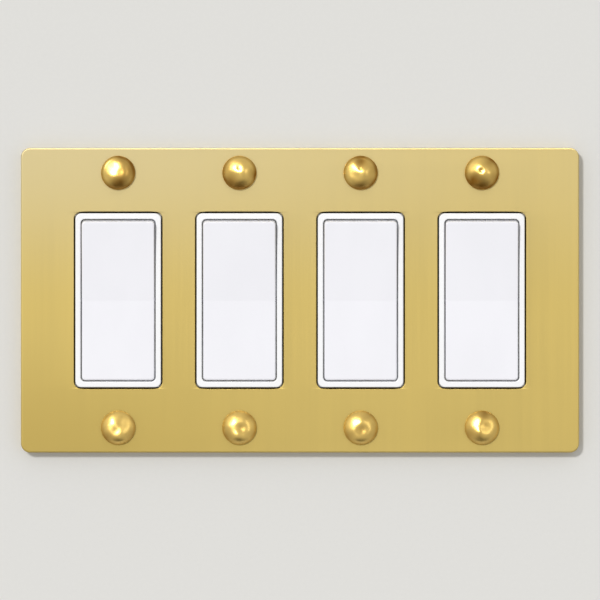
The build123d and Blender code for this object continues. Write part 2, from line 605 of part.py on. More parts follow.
# Rest position: the rocker's top stands out and the arm's top leans back
ROCKER_REST = Pos(0, PIVOT_DEPTH, 0) * Rot(ROCKER_THROW / 2, 0, 0)
ARM_REST = Pos(0, ARM_PIVOT_DEPTH, 0) * Rot(-ARM_THROW / 2, 0, 0)

# Pieces that each switch has for itself
switch_pieces = {
    "bezel": bezel(),
    "rocker": ROCKER_REST * rocker(),
    "plunger": ROCKER_REST * plunger(),
    "plunger_spring": ROCKER_REST * plunger_spring(),
    "mounting_strap": mounting_strap(),
    "rear_housing": rear_housing(),
    "common_terminal": common_terminal(),
    "load_terminal": load_terminal(),
    "contact_arm": ARM_REST * contact_arm(),
    "moving_contact": ARM_REST * moving_contact(),
}

# Small pieces that are alike in every switch, kept together
shared_pieces = {
    "dome_screws": plate_screws(),
    "terminal_screws": terminal_screws(),
    "clamp_plates": clamp_plates(),
    "earth_screws": earth_screw(),
    "box_screws": box_screws(),
    "screw_washers": screw_washers(),
    "strap_rivets": strap_rivets(),
    "fixed_contacts": [fixed_contact()],
}

export_step(wall_plate(), "parts/wall_plate.step")
for name, piece in switch_pieces.items():
    for number, x in enumerate(GANG_CENTRES, start=1):
        export_step(Pos(x, 0, 0) * piece, f"parts/{name}_{number}.step")
for name, pieces in shared_pieces.items():
    group = [Pos(x, 0, 0) * piece for x in GANG_CENTRES for piece in pieces]
    export_step(Compound(group), f"parts/{name}.step")
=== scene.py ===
"""Looks of a four-gang rocker light switch, laid out as an add-on.

Metres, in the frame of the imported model: +X points right, +Z up and +Y into the wall, whose face is Y = 0.
"""

import json
import math

import bmesh
import bpy
from bpy.props import FloatProperty, FloatVectorProperty, IntProperty, PointerProperty
from mathutils import Matrix, Vector, noise


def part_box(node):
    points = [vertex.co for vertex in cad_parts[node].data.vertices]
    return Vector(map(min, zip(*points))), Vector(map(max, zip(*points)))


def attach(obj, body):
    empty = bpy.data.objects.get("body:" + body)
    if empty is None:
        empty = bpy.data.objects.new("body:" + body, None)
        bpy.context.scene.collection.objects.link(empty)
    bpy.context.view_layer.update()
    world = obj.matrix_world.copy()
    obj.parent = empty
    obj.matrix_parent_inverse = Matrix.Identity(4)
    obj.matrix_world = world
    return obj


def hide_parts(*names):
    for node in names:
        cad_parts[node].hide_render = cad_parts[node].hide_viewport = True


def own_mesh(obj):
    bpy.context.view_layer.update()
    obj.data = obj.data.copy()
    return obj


bl_info = {
    "name": "Rocker Light Switch",
    "version": (1, 0, 0),
    "blender": (4, 5, 0),
    "location": "3D View > Sidebar > Switch",
    "description": "Dresses a four-gang rocker light switch with a brushed brass plate",
    "category": "Object",
}

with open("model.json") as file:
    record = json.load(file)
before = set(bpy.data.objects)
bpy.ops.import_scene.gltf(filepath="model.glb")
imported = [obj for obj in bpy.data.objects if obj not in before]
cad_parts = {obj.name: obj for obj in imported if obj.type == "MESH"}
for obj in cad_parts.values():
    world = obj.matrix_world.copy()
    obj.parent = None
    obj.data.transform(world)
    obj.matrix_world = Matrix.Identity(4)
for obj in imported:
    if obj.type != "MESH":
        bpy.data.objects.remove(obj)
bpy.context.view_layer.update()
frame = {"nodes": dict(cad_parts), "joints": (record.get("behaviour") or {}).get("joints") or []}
MM = 0.001

# Distances under which two points are one or lie in line, and a distance past every piece
SAME = 1e-7
NEAR = 1e-6
FAR = 1.0

# How straight a face looks out or back, as a cosine, and the angle past which an edge is sharp
SQUARE_ON = 0.99
SHARP = math.radians(35)

# Width of the photograph in pixels, and the size of one of them at the plate's face
PHOTO_WIDTH = 600
PIXEL = 0.3798 * MM

# Turn that stands what is made about +Z out of the wall
FACE_ROOM = Matrix.Rotation(math.pi / 2, 4, "X")

# Faces across roundings and round small parts
CORNER_STEPS = 10
OPENING_STEPS = 8
HOLE_STEPS = 6
EDGE_STEPS = 4
LIP_STEPS = 3
ARC_STEPS = 32
END_STEPS = 8
POST_STEPS = 32
PIVOT_STEPS = 24
WIRE_STEPS = 10

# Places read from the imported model
GANGS = (1, 2, 3, 4)
PLATE_LOW, PLATE_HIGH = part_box("wall_plate")
BEZEL_LOW, BEZEL_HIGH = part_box("bezel_1")
DOMES_LOW, DOMES_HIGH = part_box("dome_screws")
BOX_SCREWS_LOW, BOX_SCREWS_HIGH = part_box("box_screws")
JOINTS = {joint["name"]: joint for joint in frame["joints"]}
GANG_X = [JOINTS[f"rocker_{n}_tilt"]["pos_m"][0] for n in GANGS]
PIVOT_DEPTH = JOINTS["rocker_1_tilt"]["pos_m"][1]
ROCKER_TILT = math.radians(-JOINTS["rocker_1_tilt"]["range_deg"][0] / 2)


def length(label, text, default):
    """Length property in metres."""
    return FloatProperty(
        name=label,
        description=text,
        default=default,
        min=0.0,
        precision=5,
        subtype="DISTANCE",
        unit="LENGTH",
    )


def colour(label, text, default):
    """Linear colour property."""
    return FloatVectorProperty(
        name=label, description=text, default=default, size=3, min=0.0, max=1.0, subtype="COLOR"
    )


def number(label, text, default, high=1.0):
    """Plain number property."""
    return FloatProperty(name=label, description=text, default=default, min=0.0, max=high, precision=4)


def count(label, text, default, low, high):
    """Whole number property."""
    return IntProperty(name=label, description=text, default=default, min=low, max=high)


class PlateSettings(bpy.types.PropertyGroup):
    """Sizes of the brass wall plate."""

    width: length("Width", "Plate width", PLATE_HIGH.x - PLATE_LOW.x)
    height: length("Height", "Plate height", PLATE_HIGH.z - PLATE_LOW.z)
    depth: length("Depth", "How far the plate's face stands off the wall", PLATE_HIGH.y - PLATE_LOW.y)
    web: length("Web", "Metal thickness of the face", 1.8 * MM)
    rim: length("Rim", "Thickness of the edge that meets the wall", 2.5 * MM)
    corner_radius: length("Corner radius", "Radius of the plate's corners", 3.5 * MM)
    edge_radius: length("Edge radius", "Rounding of the outer edge", 0.6 * MM)
    opening_clearance: length("Opening clearance", "Gap round each bezel", 0.55 * MM)
    opening_edge: length("Opening edge", "Rounding of the edge of each opening", 0.3 * MM)
    hole_radius: length("Hole radius", "Radius of the screw holes", 2.0 * MM)


class DomeSettings(bpy.types.PropertyGroup):
    """Sizes of the dome-headed plate screws."""

    radius: length("Radius", "Radius of the head", 6.5 * MM)
    rim: length("Rim", "Straight part below the dome", 0.7 * MM)
    shank_radius: length("Shank radius", "Outer radius of the thread", 1.7 * MM)
    thread_depth: length("Thread depth", "Depth of the thread", 0.36 * MM)
    pitch: length("Pitch", "Pitch of the thread", 0.79 * MM)
    tip: length("Tip", "Length of the chamfer at the end", 0.55 * MM)
    wave: length("Wave", "Size of the uneven places that hand polish leaves", 3.2 * MM)
    waviness: length("Waviness", "Depth of the uneven hand polish", 0.15 * MM)
    # The clean part and the two strengths set the brown round the dome rims: partly tarnish, partly painted
    # shade, painted weaker on the lower domes so that they show paler
    clean: number("Clean part", "Share of the radius that stays free of tarnish", 0.8)
    upper_tarnish_and_shade: number("Upper tarnish", "Strength of the tarnish round the upper domes", 0.7)
    lower_tarnish_and_shade: number("Lower tarnish", "Strength round the lower domes, which hands rub bright", 0.15)
    steps: count("Steps", "Faces round a dome", 96, 24, 256)


class BezelSettings(bpy.types.PropertyGroup):
    """Sizes of the white frames round the rockers."""

    width: length("Width", "Outer width", BEZEL_HIGH.x - BEZEL_LOW.x)
    height: length("Height", "Outer height", 66.1 * MM)
    side_wall: length("Side wall", "Thickness at the sides", 2.0 * MM)
    end_wall: length("End wall", "Thickness at the ends", 2.2 * MM)
    corner_radius: length("Corner radius", "Radius of the outer corners", 2.3 * MM)
    inner_radius: length("Inner radius", "Radius of the inner corners", 1.7 * MM)
    edge_radius: length("Edge radius", "Rounding of the front edges", 0.45 * MM)
    flange: length("Flange", "Thickness of the end flanges", 1.4 * MM)
    flange_width: length("Flange width", "Width of the end flanges", 13.0 * MM)
    socket_radius: length("Socket radius", "Half the size of the trunnion sockets", 1.16 * MM)
    socket_depth: length("Socket depth", "Depth of the trunnion sockets", 1.01 * MM)


class RockerSettings(bpy.types.PropertyGroup):
    """Sizes of the white rockers."""

    width: length("Width", "Rocker width", 27.5 * MM)
    end_radius: length("End radius", "Distance from the pivot to the ends", 30.5 * MM)
    front: length("Front", "Distance from the pivot to the crease", 3.805 * MM)
    back: length("Back", "Distance from the pivot to the open back", 0.9 * MM)
    face: length("Face", "Thickness of the face", 1.8 * MM)
    wall: length("Wall", "Thickness of the sides", 1.6 * MM)
    corner_radius: length("Corner radius", "Radius of the corners", 1.2 * MM)
    edge_radius: length("Edge radius", "Rounding of the front edges", 0.58 * MM)
    trunnion_radius: length("Trunnion radius", "Radius of the pivots", 1.1 * MM)
    trunnion_reach: length("Trunnion reach", "Distance from the middle to the tip of a pivot", 15.2 * MM)
    post_radius: length("Post radius", "Outer radius of the post", 3.66 * MM)
    post_bore: length("Post bore", "Radius of the bore for the spring and plunger", 2.16 * MM)
    post_end: length("Post end", "Distance from the pivot to the end of the post", 13.5 * MM)
    bore_floor: length("Bore floor", "Distance from the pivot to the floor of the bore", 1.2 * MM)


class ScrewSettings(bpy.types.PropertyGroup):
    """Sizes of the slotted screws that hold each strap to the box in the wall."""

    radius: length("Radius", "Outer radius of the thread", 1.75 * MM)
    thread_depth: length("Thread depth", "Depth of the thread", 0.38 * MM)
    pitch: length("Pitch", "Pitch of the thread", 0.79 * MM)
    neck_radius: length("Neck radius", "Radius of the plain neck", 1.45 * MM)
    neck: length("Neck", "Length of the plain neck", 2.4 * MM)
    tip: length("Tip", "Length of the chamfer at the end", 0.5 * MM)
    head_radius: length("Head radius", "Radius of the head", 3.4 * MM)
    head_height: length("Head height", "Height of the head", 1.9 * MM)
    slot_width: length("Slot width", "Width of the driver slot", 0.9 * MM)
    slot_depth: length("Slot depth", "Depth of the driver slot", 0.9 * MM)
    steps: count("Steps", "Faces round a screw", 32, 12, 128)


class SpringSettings(bpy.types.PropertyGroup):
    """Sizes of the springs in the rockers' posts."""

    turns: count("Turns", "Turns of the coil", 4, 1, 20)
    steps: count("Steps", "Faces round a turn", 24, 8, 64)
    wire_radius: length("Wire radius", "Half the thickness of the wire", 0.25 * MM)
    coil_radius: length("Coil radius", "Distance from the axis to the middle of the wire", 1.66 * MM)
    clearance: length("Clearance", "Gap at each end of the spring", 0.05 * MM)
    heel: length("Heel", "Distance from the pivot to the plunger's inner end", 8.0 * MM)


class FinishSettings(bpy.types.PropertyGroup):
    """Colours of the finishes."""

    # The second and third plate colours are painted light: a paler brass painted towards the top left stands
    # for sheen, and a deeper brass painted towards the lower left stands for shade
    plate_brass: colour("Plate brass", "Brushed brass of the plate", (0.492, 0.368, 0.104))
    plate_painted_sheen: colour("Plate haze", "Brass under the thicker lacquer at the top", (0.505, 0.424, 0.228))
    plate_painted_shade: colour("Plate deep", "Brass that is handled less, at the lower left", (0.41, 0.295, 0.066))
    dome_brass: colour("Dome brass", "Turned brass of the domes", (0.79, 0.545, 0.15))
    # Brown of the dome edges and spots: partly tarnish, partly painted shade and painted dark reflection
    tarnish: colour("Tarnish", "Brown that gathers at the edges of the domes", (0.27, 0.115, 0.004))
    bezel_white: colour("Bezel white", "Moulded bezel", (0.945, 0.945, 0.95))
    rocker_white: colour("Rocker white", "Moulded rocker", (0.905, 0.90, 0.94))
    housing_black: colour("Housing", "Moulded rear housing", (0.030, 0.029, 0.028))
    zinc: colour("Zinc", "Plated steel of strap and screws", (0.60, 0.61, 0.61))
    terminal_brass: colour("Terminal brass", "Plain brass of the terminals", (0.66, 0.45, 0.15))
    copper: colour("Copper", "Alloy of the contact arm", (0.66, 0.34, 0.20))
    silver: colour("Silver", "Contact rivets", (0.80, 0.79, 0.76))
    earth_green: colour("Earthing green", "Dyed earthing screw", (0.03, 0.23, 0.07))
    fibre: colour("Fibre", "Retaining washers", (0.27, 0.055, 0.03))
    nylon: colour("Nylon", "Plungers", (0.78, 0.76, 0.70))


class StageSettings(bpy.types.PropertyGroup):
    """Wall, lamps and camera."""

    wall: colour("Wall", "Painted wall", (0.735, 0.727, 0.698))
    wall_reach: length("Wall reach", "Half the size of the wall", 2.0)
    wall_step: length("Wall step", "How far the wall's face lies before the plate's back edge", 0.05 * MM)
    # Painted shade: black frames behind the gaps round the bezels stand for the shaded inside of the wall
    # box
    gap_painted_shade: colour("Gap black", "Darkness behind the gaps round the bezels", (0.004, 0.004, 0.004))
    gap_border: length("Gap border", "How far the dark frames reach past the gaps", 1.0 * MM)
    gap_depth: length("Gap depth", "How far the dark frames lie behind the plate's face sheet", 0.3 * MM)
    camera_distance: length("Camera distance", "From the plate's face to the lens", 2.4)
    camera_rise: length("Camera rise", "Height of the lens over the plate's middle", 0.1 * MM)
    view_width: length("View width", "Width seen at the plate's face", PHOTO_WIDTH * PIXEL)
    key: number("Key", "Strength of the key lamp", 1.45, 20.0)
    key_size: FloatProperty(
        name="Key size",
        description="Angle that the key lamp covers",
        default=math.radians(7),
        subtype="ANGLE",
    )
    key_slope: number("Key slope", "Shadow length against depth, across and down", 0.36)
    softbox: number("Softbox", "Power of the upper left softbox that the domes mirror", 27.0, 500.0)
    side_box: number("Side box", "Power of the right softbox that the domes mirror", 4.0, 500.0)
    plate_box: number("Plate box", "Power of the near softbox that the plate mirrors", 0.45, 500.0)
    plate_side: number("Plate side boxes", "Power of the boxes beside and below the plate", 6.0, 500.0)
    edge_box: number("Edge box", "Power of the strip lamp over the plate's top edge", 15.0, 500.0)
    sky: number("Sky", "Level of the room at eye height", 0.62, 5.0)
    ceiling: number("Ceiling", "Level of the room above", 0.70, 5.0)
    floor: number("Floor", "Level of the room below", 0.06, 5.0)
    rear: number("Rear lamp", "Power of the lamp behind the wall", 25.0, 100.0)


class SwitchSettings(bpy.types.PropertyGroup):
    """Everything that can be changed on the switch."""

    plate: PointerProperty(type=PlateSettings)
    dome: PointerProperty(type=DomeSettings)
    bezel: PointerProperty(type=BezelSettings)
    rocker: PointerProperty(type=RockerSettings)
    screw: PointerProperty(type=ScrewSettings)
    spring: PointerProperty(type=SpringSettings)
    finish: PointerProperty(type=FinishSettings)
    stage: PointerProperty(type=StageSettings)


# Finishes
class Finish:
    """Material whose nodes end in one Principled shader; patterns read Object coordinates."""

    # Sockets of a Mix node that take and give colours
    MIX_SHARE = 0
    MIX_FIRST = 6
    MIX_SECOND = 7
    MIX_RESULT = 2

    def __init__(self, name):
        self.material = bpy.data.materials.new(name)
        self.material.use_nodes = True
        self.tree = self.material.node_tree
        self.tree.nodes.clear()
        output = self.node("ShaderNodeOutputMaterial")
        self.shader = self.node("ShaderNodeBsdfPrincipled")
        self.tree.links.new(self.shader.outputs["BSDF"], output.inputs["Surface"])
        self.place = self.node("ShaderNodeTexCoord").outputs["Object"]

    def node(self, kind, **settings):
        """Adds a node and sets its options."""
        made = self.tree.nodes.new(kind)
        for name, value in settings.items():
            setattr(made, name, value)
        return made

    def put(self, socket, value):
        """Links a socket, or sets its value."""
        if isinstance(value, bpy.types.NodeSocket):
            self.tree.links.new(value, socket)
        elif socket.type == "RGBA":
            socket.default_value = (*value[:3], 1.0)
        else:
            socket.default_value = value

    def grain(self, scale, detail=2.0, shift=(0.0, 0.0, 0.0), start=None, distortion=0.0):
        """Noise from 0 to 1, with its own scale along each axis in features per metre."""
        mapping = self.node("ShaderNodeMapping")
        self.put(mapping.inputs["Vector"], start or self.place)
        mapping.inputs["Scale"].default_value = scale
        mapping.inputs["Location"].default_value = shift
        made = self.node("ShaderNodeTexNoise")
        self.put(made.inputs["Vector"], mapping.outputs["Vector"])
        made.inputs["Scale"].default_value = 1.0
        made.inputs["Detail"].default_value = detail
        made.inputs["Distortion"].default_value = distortion
        return made.outputs["Fac"]

    def spread(self, value, low, high, start=0.3, end=0.7):
        """Maps the middle of a pattern on to a range of values."""
        made = self.node("ShaderNodeMapRange", interpolation_type="SMOOTHSTEP")
        given = {"Value": value, "From Min": start, "From Max": end, "To Min": low, "To Max": high}
        for name, setting in given.items():
            self.put(made.inputs[name], setting)
        return made.outputs["Result"]

    def math(self, operation, first, second):
        """Sum, product or other function of two values."""
        made = self.node("ShaderNodeMath", operation=operation)
        self.put(made.inputs[0], first)
        self.put(made.inputs[1], second)
        return made.outputs["Value"]

    def mix(self, share, first, second):
        """Colour between two colours."""
        made = self.node("ShaderNodeMix", data_type="RGBA")
        self.put(made.inputs[self.MIX_SHARE], share)
        self.put(made.inputs[self.MIX_FIRST], first)
        self.put(made.inputs[self.MIX_SECOND], second)
        return made.outputs[self.MIX_RESULT]

    def relief(self, height, distance):
        """Bump of a given depth in metres."""
        made = self.node("ShaderNodeBump")
        self.put(made.inputs["Height"], height)
        made.inputs["Distance"].default_value = distance
        return made.outputs["Normal"]

    def along(self, map_name):
        """Tangent that follows a piece's own UV map."""
        return self.node("ShaderNodeTangent", direction_type="UV_MAP", uv_map=map_name).outputs["Tangent"]

    def shade(self, **sockets):
        """Sets the shader's sockets, named with underscores, and returns the material."""
        for name, value in sockets.items():
            self.put(self.shader.inputs[name.replace("_", " ")], value)
        return self.material


def scaled(colour_value, factor):
    """Colour made lighter or darker."""
    return tuple(min(1.0, channel * factor) for channel in colour_value)


def brushed_brass(look):
    """Satin brass with fine upright brush lines under a thin lacquer, with painted sheen towards the top
    left and painted shade towards the lower left.
    """
    finish = Finish("brushed_brass")
    hairline = finish.grain((5200, 900, 28), 3.0)
    streak = finish.grain((620, 120, 7), 2.0, (3.1, 0.0, 1.7))
    cloud = finish.grain((26, 26, 26), 2.0, (0.4, 0.0, 0.9))
    lines = finish.math("ADD", finish.math("MULTIPLY", hairline, 0.6), finish.math("MULTIPLY", streak, 0.4))
    bare = finish.mix(
        finish.spread(lines, 0.0, 1.0),
        scaled(look.plate_brass, 0.97),
        scaled(look.plate_brass, 1.03),
    )
    split = finish.node("ShaderNodeSeparateXYZ")
    finish.put(split.inputs["Vector"], finish.place)
    # Painted sheen: the brass is mixed paler towards the top, most at the left, in place of light falling on
    # it
    top_painted_sheen = finish.math(
        "MULTIPLY",
        finish.spread(split.outputs["Z"], 0.0, 0.8, 0.1 * PLATE_LOW.z, PLATE_HIGH.z),
        finish.spread(split.outputs["X"], 1.0, 0.5, PLATE_LOW.x, PLATE_HIGH.x),
    )
    # Painted shade: the brass is mixed deeper towards the bottom, most at the left, in place of the light
    # falling off there
    low_painted_shade = finish.math(
        "MULTIPLY",
        finish.spread(split.outputs["Z"], 0.9, 0.0, PLATE_LOW.z, 0.0),
        finish.spread(split.outputs["X"], 1.0, 0.3, PLATE_LOW.x, 0.3 * PLATE_HIGH.x),
    )
    base = finish.mix(low_painted_shade, finish.mix(top_painted_sheen, bare, look.plate_painted_sheen), look.plate_painted_shade)
    rough = finish.math("ADD", finish.spread(lines, 0.47, 0.53), finish.spread(cloud, -0.015, 0.015))
    return finish.shade(
        Base_Color=base,
        Metallic=1.0,
        Roughness=rough,
        Normal=finish.relief(lines, 0.002 * MM),
        Anisotropic=0.45,
        Tangent=finish.along("brushing"),
        Coat_Weight=0.5,
        Coat_Roughness=0.45,
    )


def turned_brass(look):
    """Hand-finished brass with tool marks that run round each dome, and brown that is partly tarnish and
    partly painted shade.
    """
    finish = Finish("turned_brass")
    turning = finish.node("ShaderNodeUVMap", uv_map="turning").outputs["UV"]
    rings = finish.grain((2600, 1.5, 1), 3.0, start=turning)
    sweeps = finish.grain((420, 3.0, 1), 2.0, (0.3, 0.7, 0.0), start=turning)
    cloud = finish.grain((240, 240, 240), 2.0)
    clean = finish.mix(
        finish.spread(cloud, 0.0, 1.0),
        scaled(look.dome_brass, 0.92),
        scaled(look.dome_brass, 1.06),
    )
    # This attribute mixes in brown that is partly tarnish and partly painted shade and painted dark
    # reflection
    tarnish_and_shade_share = finish.node("ShaderNodeAttribute", attribute_name="tarnish").outputs["Fac"]
    base = finish.mix(finish.math("MULTIPLY", tarnish_and_shade_share, finish.spread(cloud, 0.8, 1.0)), clean, look.tarnish)
    marks = finish.math("ADD", finish.math("MULTIPLY", rings, 0.5), finish.math("MULTIPLY", sweeps, 0.5))
    return finish.shade(
        Base_Color=base,
        Metallic=1.0,
        Roughness=finish.spread(marks, 0.31, 0.39),
        Normal=finish.relief(marks, 0.008 * MM),
        Anisotropic=0.2,
        Tangent=finish.along("turning"),
        Coat_Weight=0.3,
        Coat_Roughness=0.25,
    )


def mottled(name, tint, shades, body, skin, rough, depth, metallic=0.0):
    """Finish with two patterns: one mottles the tint between two shades, the other roughens the skin."""
    finish = Finish(name)
    blotches = finish.spread(finish.grain(*body), 0.0, 1.0)
    marks = finish.grain(*skin)
    return finish.shade(
        Base_Color=finish.mix(blotches, scaled(tint, shades[0]), scaled(tint, shades[1])),
        Metallic=metallic,
        Roughness=finish.spread(marks, *rough),
        Normal=finish.relief(marks, depth),
    )


def moulded_white(name, tint, rough):
    """Gloss thermoplastic with a faint moulded ripple and cloudiness."""
    cloud = ((55, 55, 30), 3.0)
    ripple = ((900, 900, 900), 2.0)
    return mottled(name, tint, (0.985, 1.01), cloud, ripple, (rough - 0.04, rough + 0.05), 0.0015 * MM)


def plain_metal(name, tint, rough, tarnish):
    """Stamped or turned metal, darker where it has tarnished."""
    cloud = ((260, 260, 260), 4.0)
    scratch = ((3800, 900, 900), 2.0)
    shades = (1.0 - tarnish, 1.0)
    return mottled(name, tint, shades, cloud, scratch, (rough - 0.06, rough + 0.08), 0.005 * MM, 1.0)


def soft_solid(name, tint, rough, fleck):
    """Nylon or fibre with a mottled body."""
    mottle = ((1400, 1400, 1400), 3.0)
    shades = (1.0 - fleck, 1.0 + fleck)
    return mottled(name, tint, shades, mottle, mottle, (rough - 0.05, rough + 0.05), 0.008 * MM)


def moulded_black(look):
    """Dark thermoset with a fine speckle and dull skin."""
    finish = Finish("housing_thermoset")
    speckle = finish.grain((2600, 2600, 2600), 2.0)
    cloud = finish.grain((90, 90, 60), 3.0)
    flecks = finish.spread(speckle, 0.0, 1.0, 0.45, 0.75)
    base = finish.mix(flecks, look.housing_black, scaled(look.housing_black, 2.2))
    return finish.shade(
        Base_Color=base,
        Roughness=finish.spread(cloud, 0.38, 0.55),
        Normal=finish.relief(speckle, 0.01 * MM),
    )


def plated_steel(look, name, upright):
    """Zinc-plated steel with rolling marks and a faint bluish and yellowish bloom."""
    finish = Finish(name)
    rolled = finish.grain((2600, 2600, 60) if upright else (1500, 1500, 1500), 3.0)
    bloom = finish.grain((70, 70, 45), 3.0)
    spangle = finish.grain((420, 420, 420), 1.0, distortion=1.5)
    zinc = look.zinc
    tinted = finish.mix(
        finish.spread(bloom, 0.0, 1.0),
        (zinc[0] * 0.93, zinc[1] * 0.97, zinc[2] * 1.06),
        (zinc[0] * 1.06, zinc[1] * 1.02, zinc[2] * 0.90),
    )
    base = finish.mix(finish.spread(spangle, 0.0, 0.18), tinted, scaled(zinc, 0.7))
    return finish.shade(
        Base_Color=base,
        Metallic=1.0,
        Roughness=finish.math("ADD", finish.spread(rolled, 0.26, 0.40), finish.spread(bloom, -0.03, 0.05)),
        Normal=finish.relief(rolled, 0.006 * MM),
    )


# Mesh tools
def cut(bm, axis, *stations, low=None, high=None):
    """Cuts the mesh, or its faces between two corners, at stations along one axis."""
    index = "XYZ".index(axis)
    for station in stations:
        faces = faces_in(bm, low, high) if low else bm.faces[:]
        edges = list({edge for face in faces for edge in face.edges})
        verts = list({vert for face in faces for vert in face.verts})
        point = Vector((0, 0, 0))
        direction = Vector((0, 0, 0))
        point[index] = station
        direction[index] = 1
        whole = verts + edges + faces
        bmesh.ops.bisect_plane(bm, geom=whole, dist=SAME, plane_co=point, plane_no=direction)


def faces_in(bm, low, high):
    """Faces whose middles lie between two corners."""
    found = []
    for face in bm.faces:
        middle = face.calc_center_median()
        if all(a <= m <= b for a, m, b in zip(low, middle, high)):
            found.append(face)
    return found


def made_verts(result):
    """New vertices in what an operator returns."""
    return [item for item in result["geom"] if isinstance(item, bmesh.types.BMVert)]


def push(bm, faces, offset):
    """Extrudes a region of faces, takes the old faces out and moves the new; returns the moved vertices."""
    moved = made_verts(bmesh.ops.extrude_face_region(bm, geom=faces))
    bmesh.ops.delete(bm, geom=faces, context="FACES")
    bmesh.ops.translate(bm, vec=offset, verts=moved)
    return moved


def round_over(bm, edges, radius, segments):
    """Rounds a set of edges."""
    if not edges:
        raise RuntimeError("no edges to round")
    bmesh.ops.bevel(
        bm,
        geom=edges,
        offset=radius,
        offset_type="OFFSET",
        segments=segments,
        profile=0.5,
        affect="EDGES",
        clamp_overlap=True,
        loop_slide=True,
        material=-1,
    )


def depth_edges(bm, x, z):
    """Edges that run in depth at one point of the plan."""
    found = []
    for edge in bm.edges:
        if all(abs(v.co.x - x) < NEAR and abs(v.co.z - z) < NEAR for v in edge.verts):
            found.append(edge)
    return found


def round_corners(bm, window, radius, segments):
    """Rounds the corners of a window or sheet, given as middle x, z and half sizes."""
    x, z, w, h = window
    for across in (-w, w):
        for up in (-h, h):
            round_over(bm, depth_edges(bm, x + across, z + up), radius, segments)


def rim_edges(bm, depth):
    """Edges between the faces that look out at a given depth and the walls round them."""
    found = []
    for edge in bm.edges:
        if len(edge.link_faces) != 2 or any(abs(v.co.y - depth) > NEAR for v in edge.verts):
            continue
        if sum(face.normal.y < -SQUARE_ON for face in edge.link_faces) == 1:
            found.append(edge)
    return found


def pierced_sheet(bm, width, height, corner_radius, windows, front, back):
    """Solid sheet between two depths with rectangular windows, each given as middle x, z and half sizes."""
    place = Matrix.Translation((0, front, 0)) @ FACE_ROOM @ Matrix.Diagonal((width, height, 1, 1))
    bmesh.ops.create_grid(bm, x_segments=1, y_segments=1, size=0.5, matrix=place)
    block = bmesh.ops.extrude_face_region(bm, geom=bm.faces[:], use_keep_orig=True)
    bmesh.ops.translate(bm, vec=(0, back - front, 0), verts=made_verts(block))
    round_corners(bm, (0, 0, width / 2, height / 2), corner_radius, CORNER_STEPS)
    behind = [face for face in bm.faces if any(abs(v.co.y - front) > SAME for v in face.verts)]
    bmesh.ops.delete(bm, geom=behind, context="FACES")
    cut(bm, "Z", *sorted({z + side * h for x, z, w, h in windows for side in (-1, 1)}))
    for x, z, w, h in windows:
        cut(bm, "X", x - w, x + w, low=(-FAR, front - FAR, z - h), high=(FAR, front + FAR, z + h))
    doomed = []
    for x, z, w, h in windows:
        doomed += faces_in(bm, (x - w, front - FAR, z - h), (x + w, front + FAR, z + h))
    bmesh.ops.delete(bm, geom=doomed, context="FACES")
    grown = bmesh.ops.extrude_face_region(bm, geom=bm.faces[:], use_keep_orig=True)
    bmesh.ops.translate(bm, vec=(0, back - front, 0), verts=made_verts(grown))
    bmesh.ops.recalc_face_normals(bm, faces=bm.faces[:])


def edge_in(edge, x, z, w, h):
    """True for an edge whose middle lies in a window or on its border."""
    middle = (edge.verts[0].co + edge.verts[1].co) / 2
    return abs(middle.x - x) < w + NEAR and abs(middle.z - z) < h + NEAR


def revolve_profile(bm, points, steps):
    """Turns a profile of (radius, height) points about Z and closes it."""
    verts = [bm.verts.new((r, 0, h)) for r, h in points]
    edges = [bm.edges.new(pair) for pair in zip(verts, verts[1:])]
    before = len(bm.verts)
    bmesh.ops.spin(
        bm,
        geom=verts + edges,
        cent=(0, 0, 0),
        axis=(0, 0, 1),
        angle=2 * math.pi,
        steps=steps,
        use_merge=True,
    )
    bm.verts.ensure_lookup_table()
    fresh = list(dict.fromkeys(verts + bm.verts[before:]))
    bmesh.ops.remove_doubles(bm, verts=fresh, dist=SAME)


# Shares of the pitch where a thread's crest starts and ends, and share of a tip's length that it tapers
CREST_START = 0.43
CREST_END = 0.57
TIP_TAPER = 0.5


def shank_thread(bm, radius, depth, pitch, top, bottom, steps):
    """Screw thread about Z between two heights, run out to a plain ring of its root radius at each end."""
    turns = int((top - bottom) / pitch) - 1
    root = radius - depth
    start = (top + bottom + turns * pitch) / 2
    outline = [(root, 0.0), (radius, -CREST_START * pitch), (radius, -CREST_END * pitch), (root, -pitch)]
    known = set(bm.verts)
    verts = [bm.verts.new((r, 0, start + h)) for r, h in outline]
    edges = [bm.edges.new(pair) for pair in zip(verts, verts[1:])]
    bmesh.ops.spin(
        bm,
        geom=verts + edges,
        cent=(0, 0, 0),
        axis=(0, 0, 1),
        dvec=(0, 0, -pitch / steps),
        angle=2 * math.pi,
        steps=steps,
    )
    turn = [face for face in bm.faces if face.verts[0] not in known]
    for below in range(1, turns):
        grown = bmesh.ops.duplicate(bm, geom=turn)
        bmesh.ops.translate(bm, vec=(0, 0, -below * pitch), verts=made_verts(grown))
    bmesh.ops.remove_doubles(bm, verts=[v for v in bm.verts if v not in known], dist=SAME)
    border = [e for e in bm.edges if e.is_boundary and e.verts[0] not in known]
    middle = (top + bottom) / 2
    for end in (top, bottom):
        loop = [e for e in border if (e.verts[0].co.z - middle) * (end - middle) > 0]
        grown = made_verts(bmesh.ops.extrude_edge_only(bm, edges=loop))
        for vert in grown:
            plan = vert.co.xy.normalized() * root
            vert.co = (plan.x, plan.y, end)
        bmesh.ops.remove_doubles(bm, verts=grown, dist=NEAR)


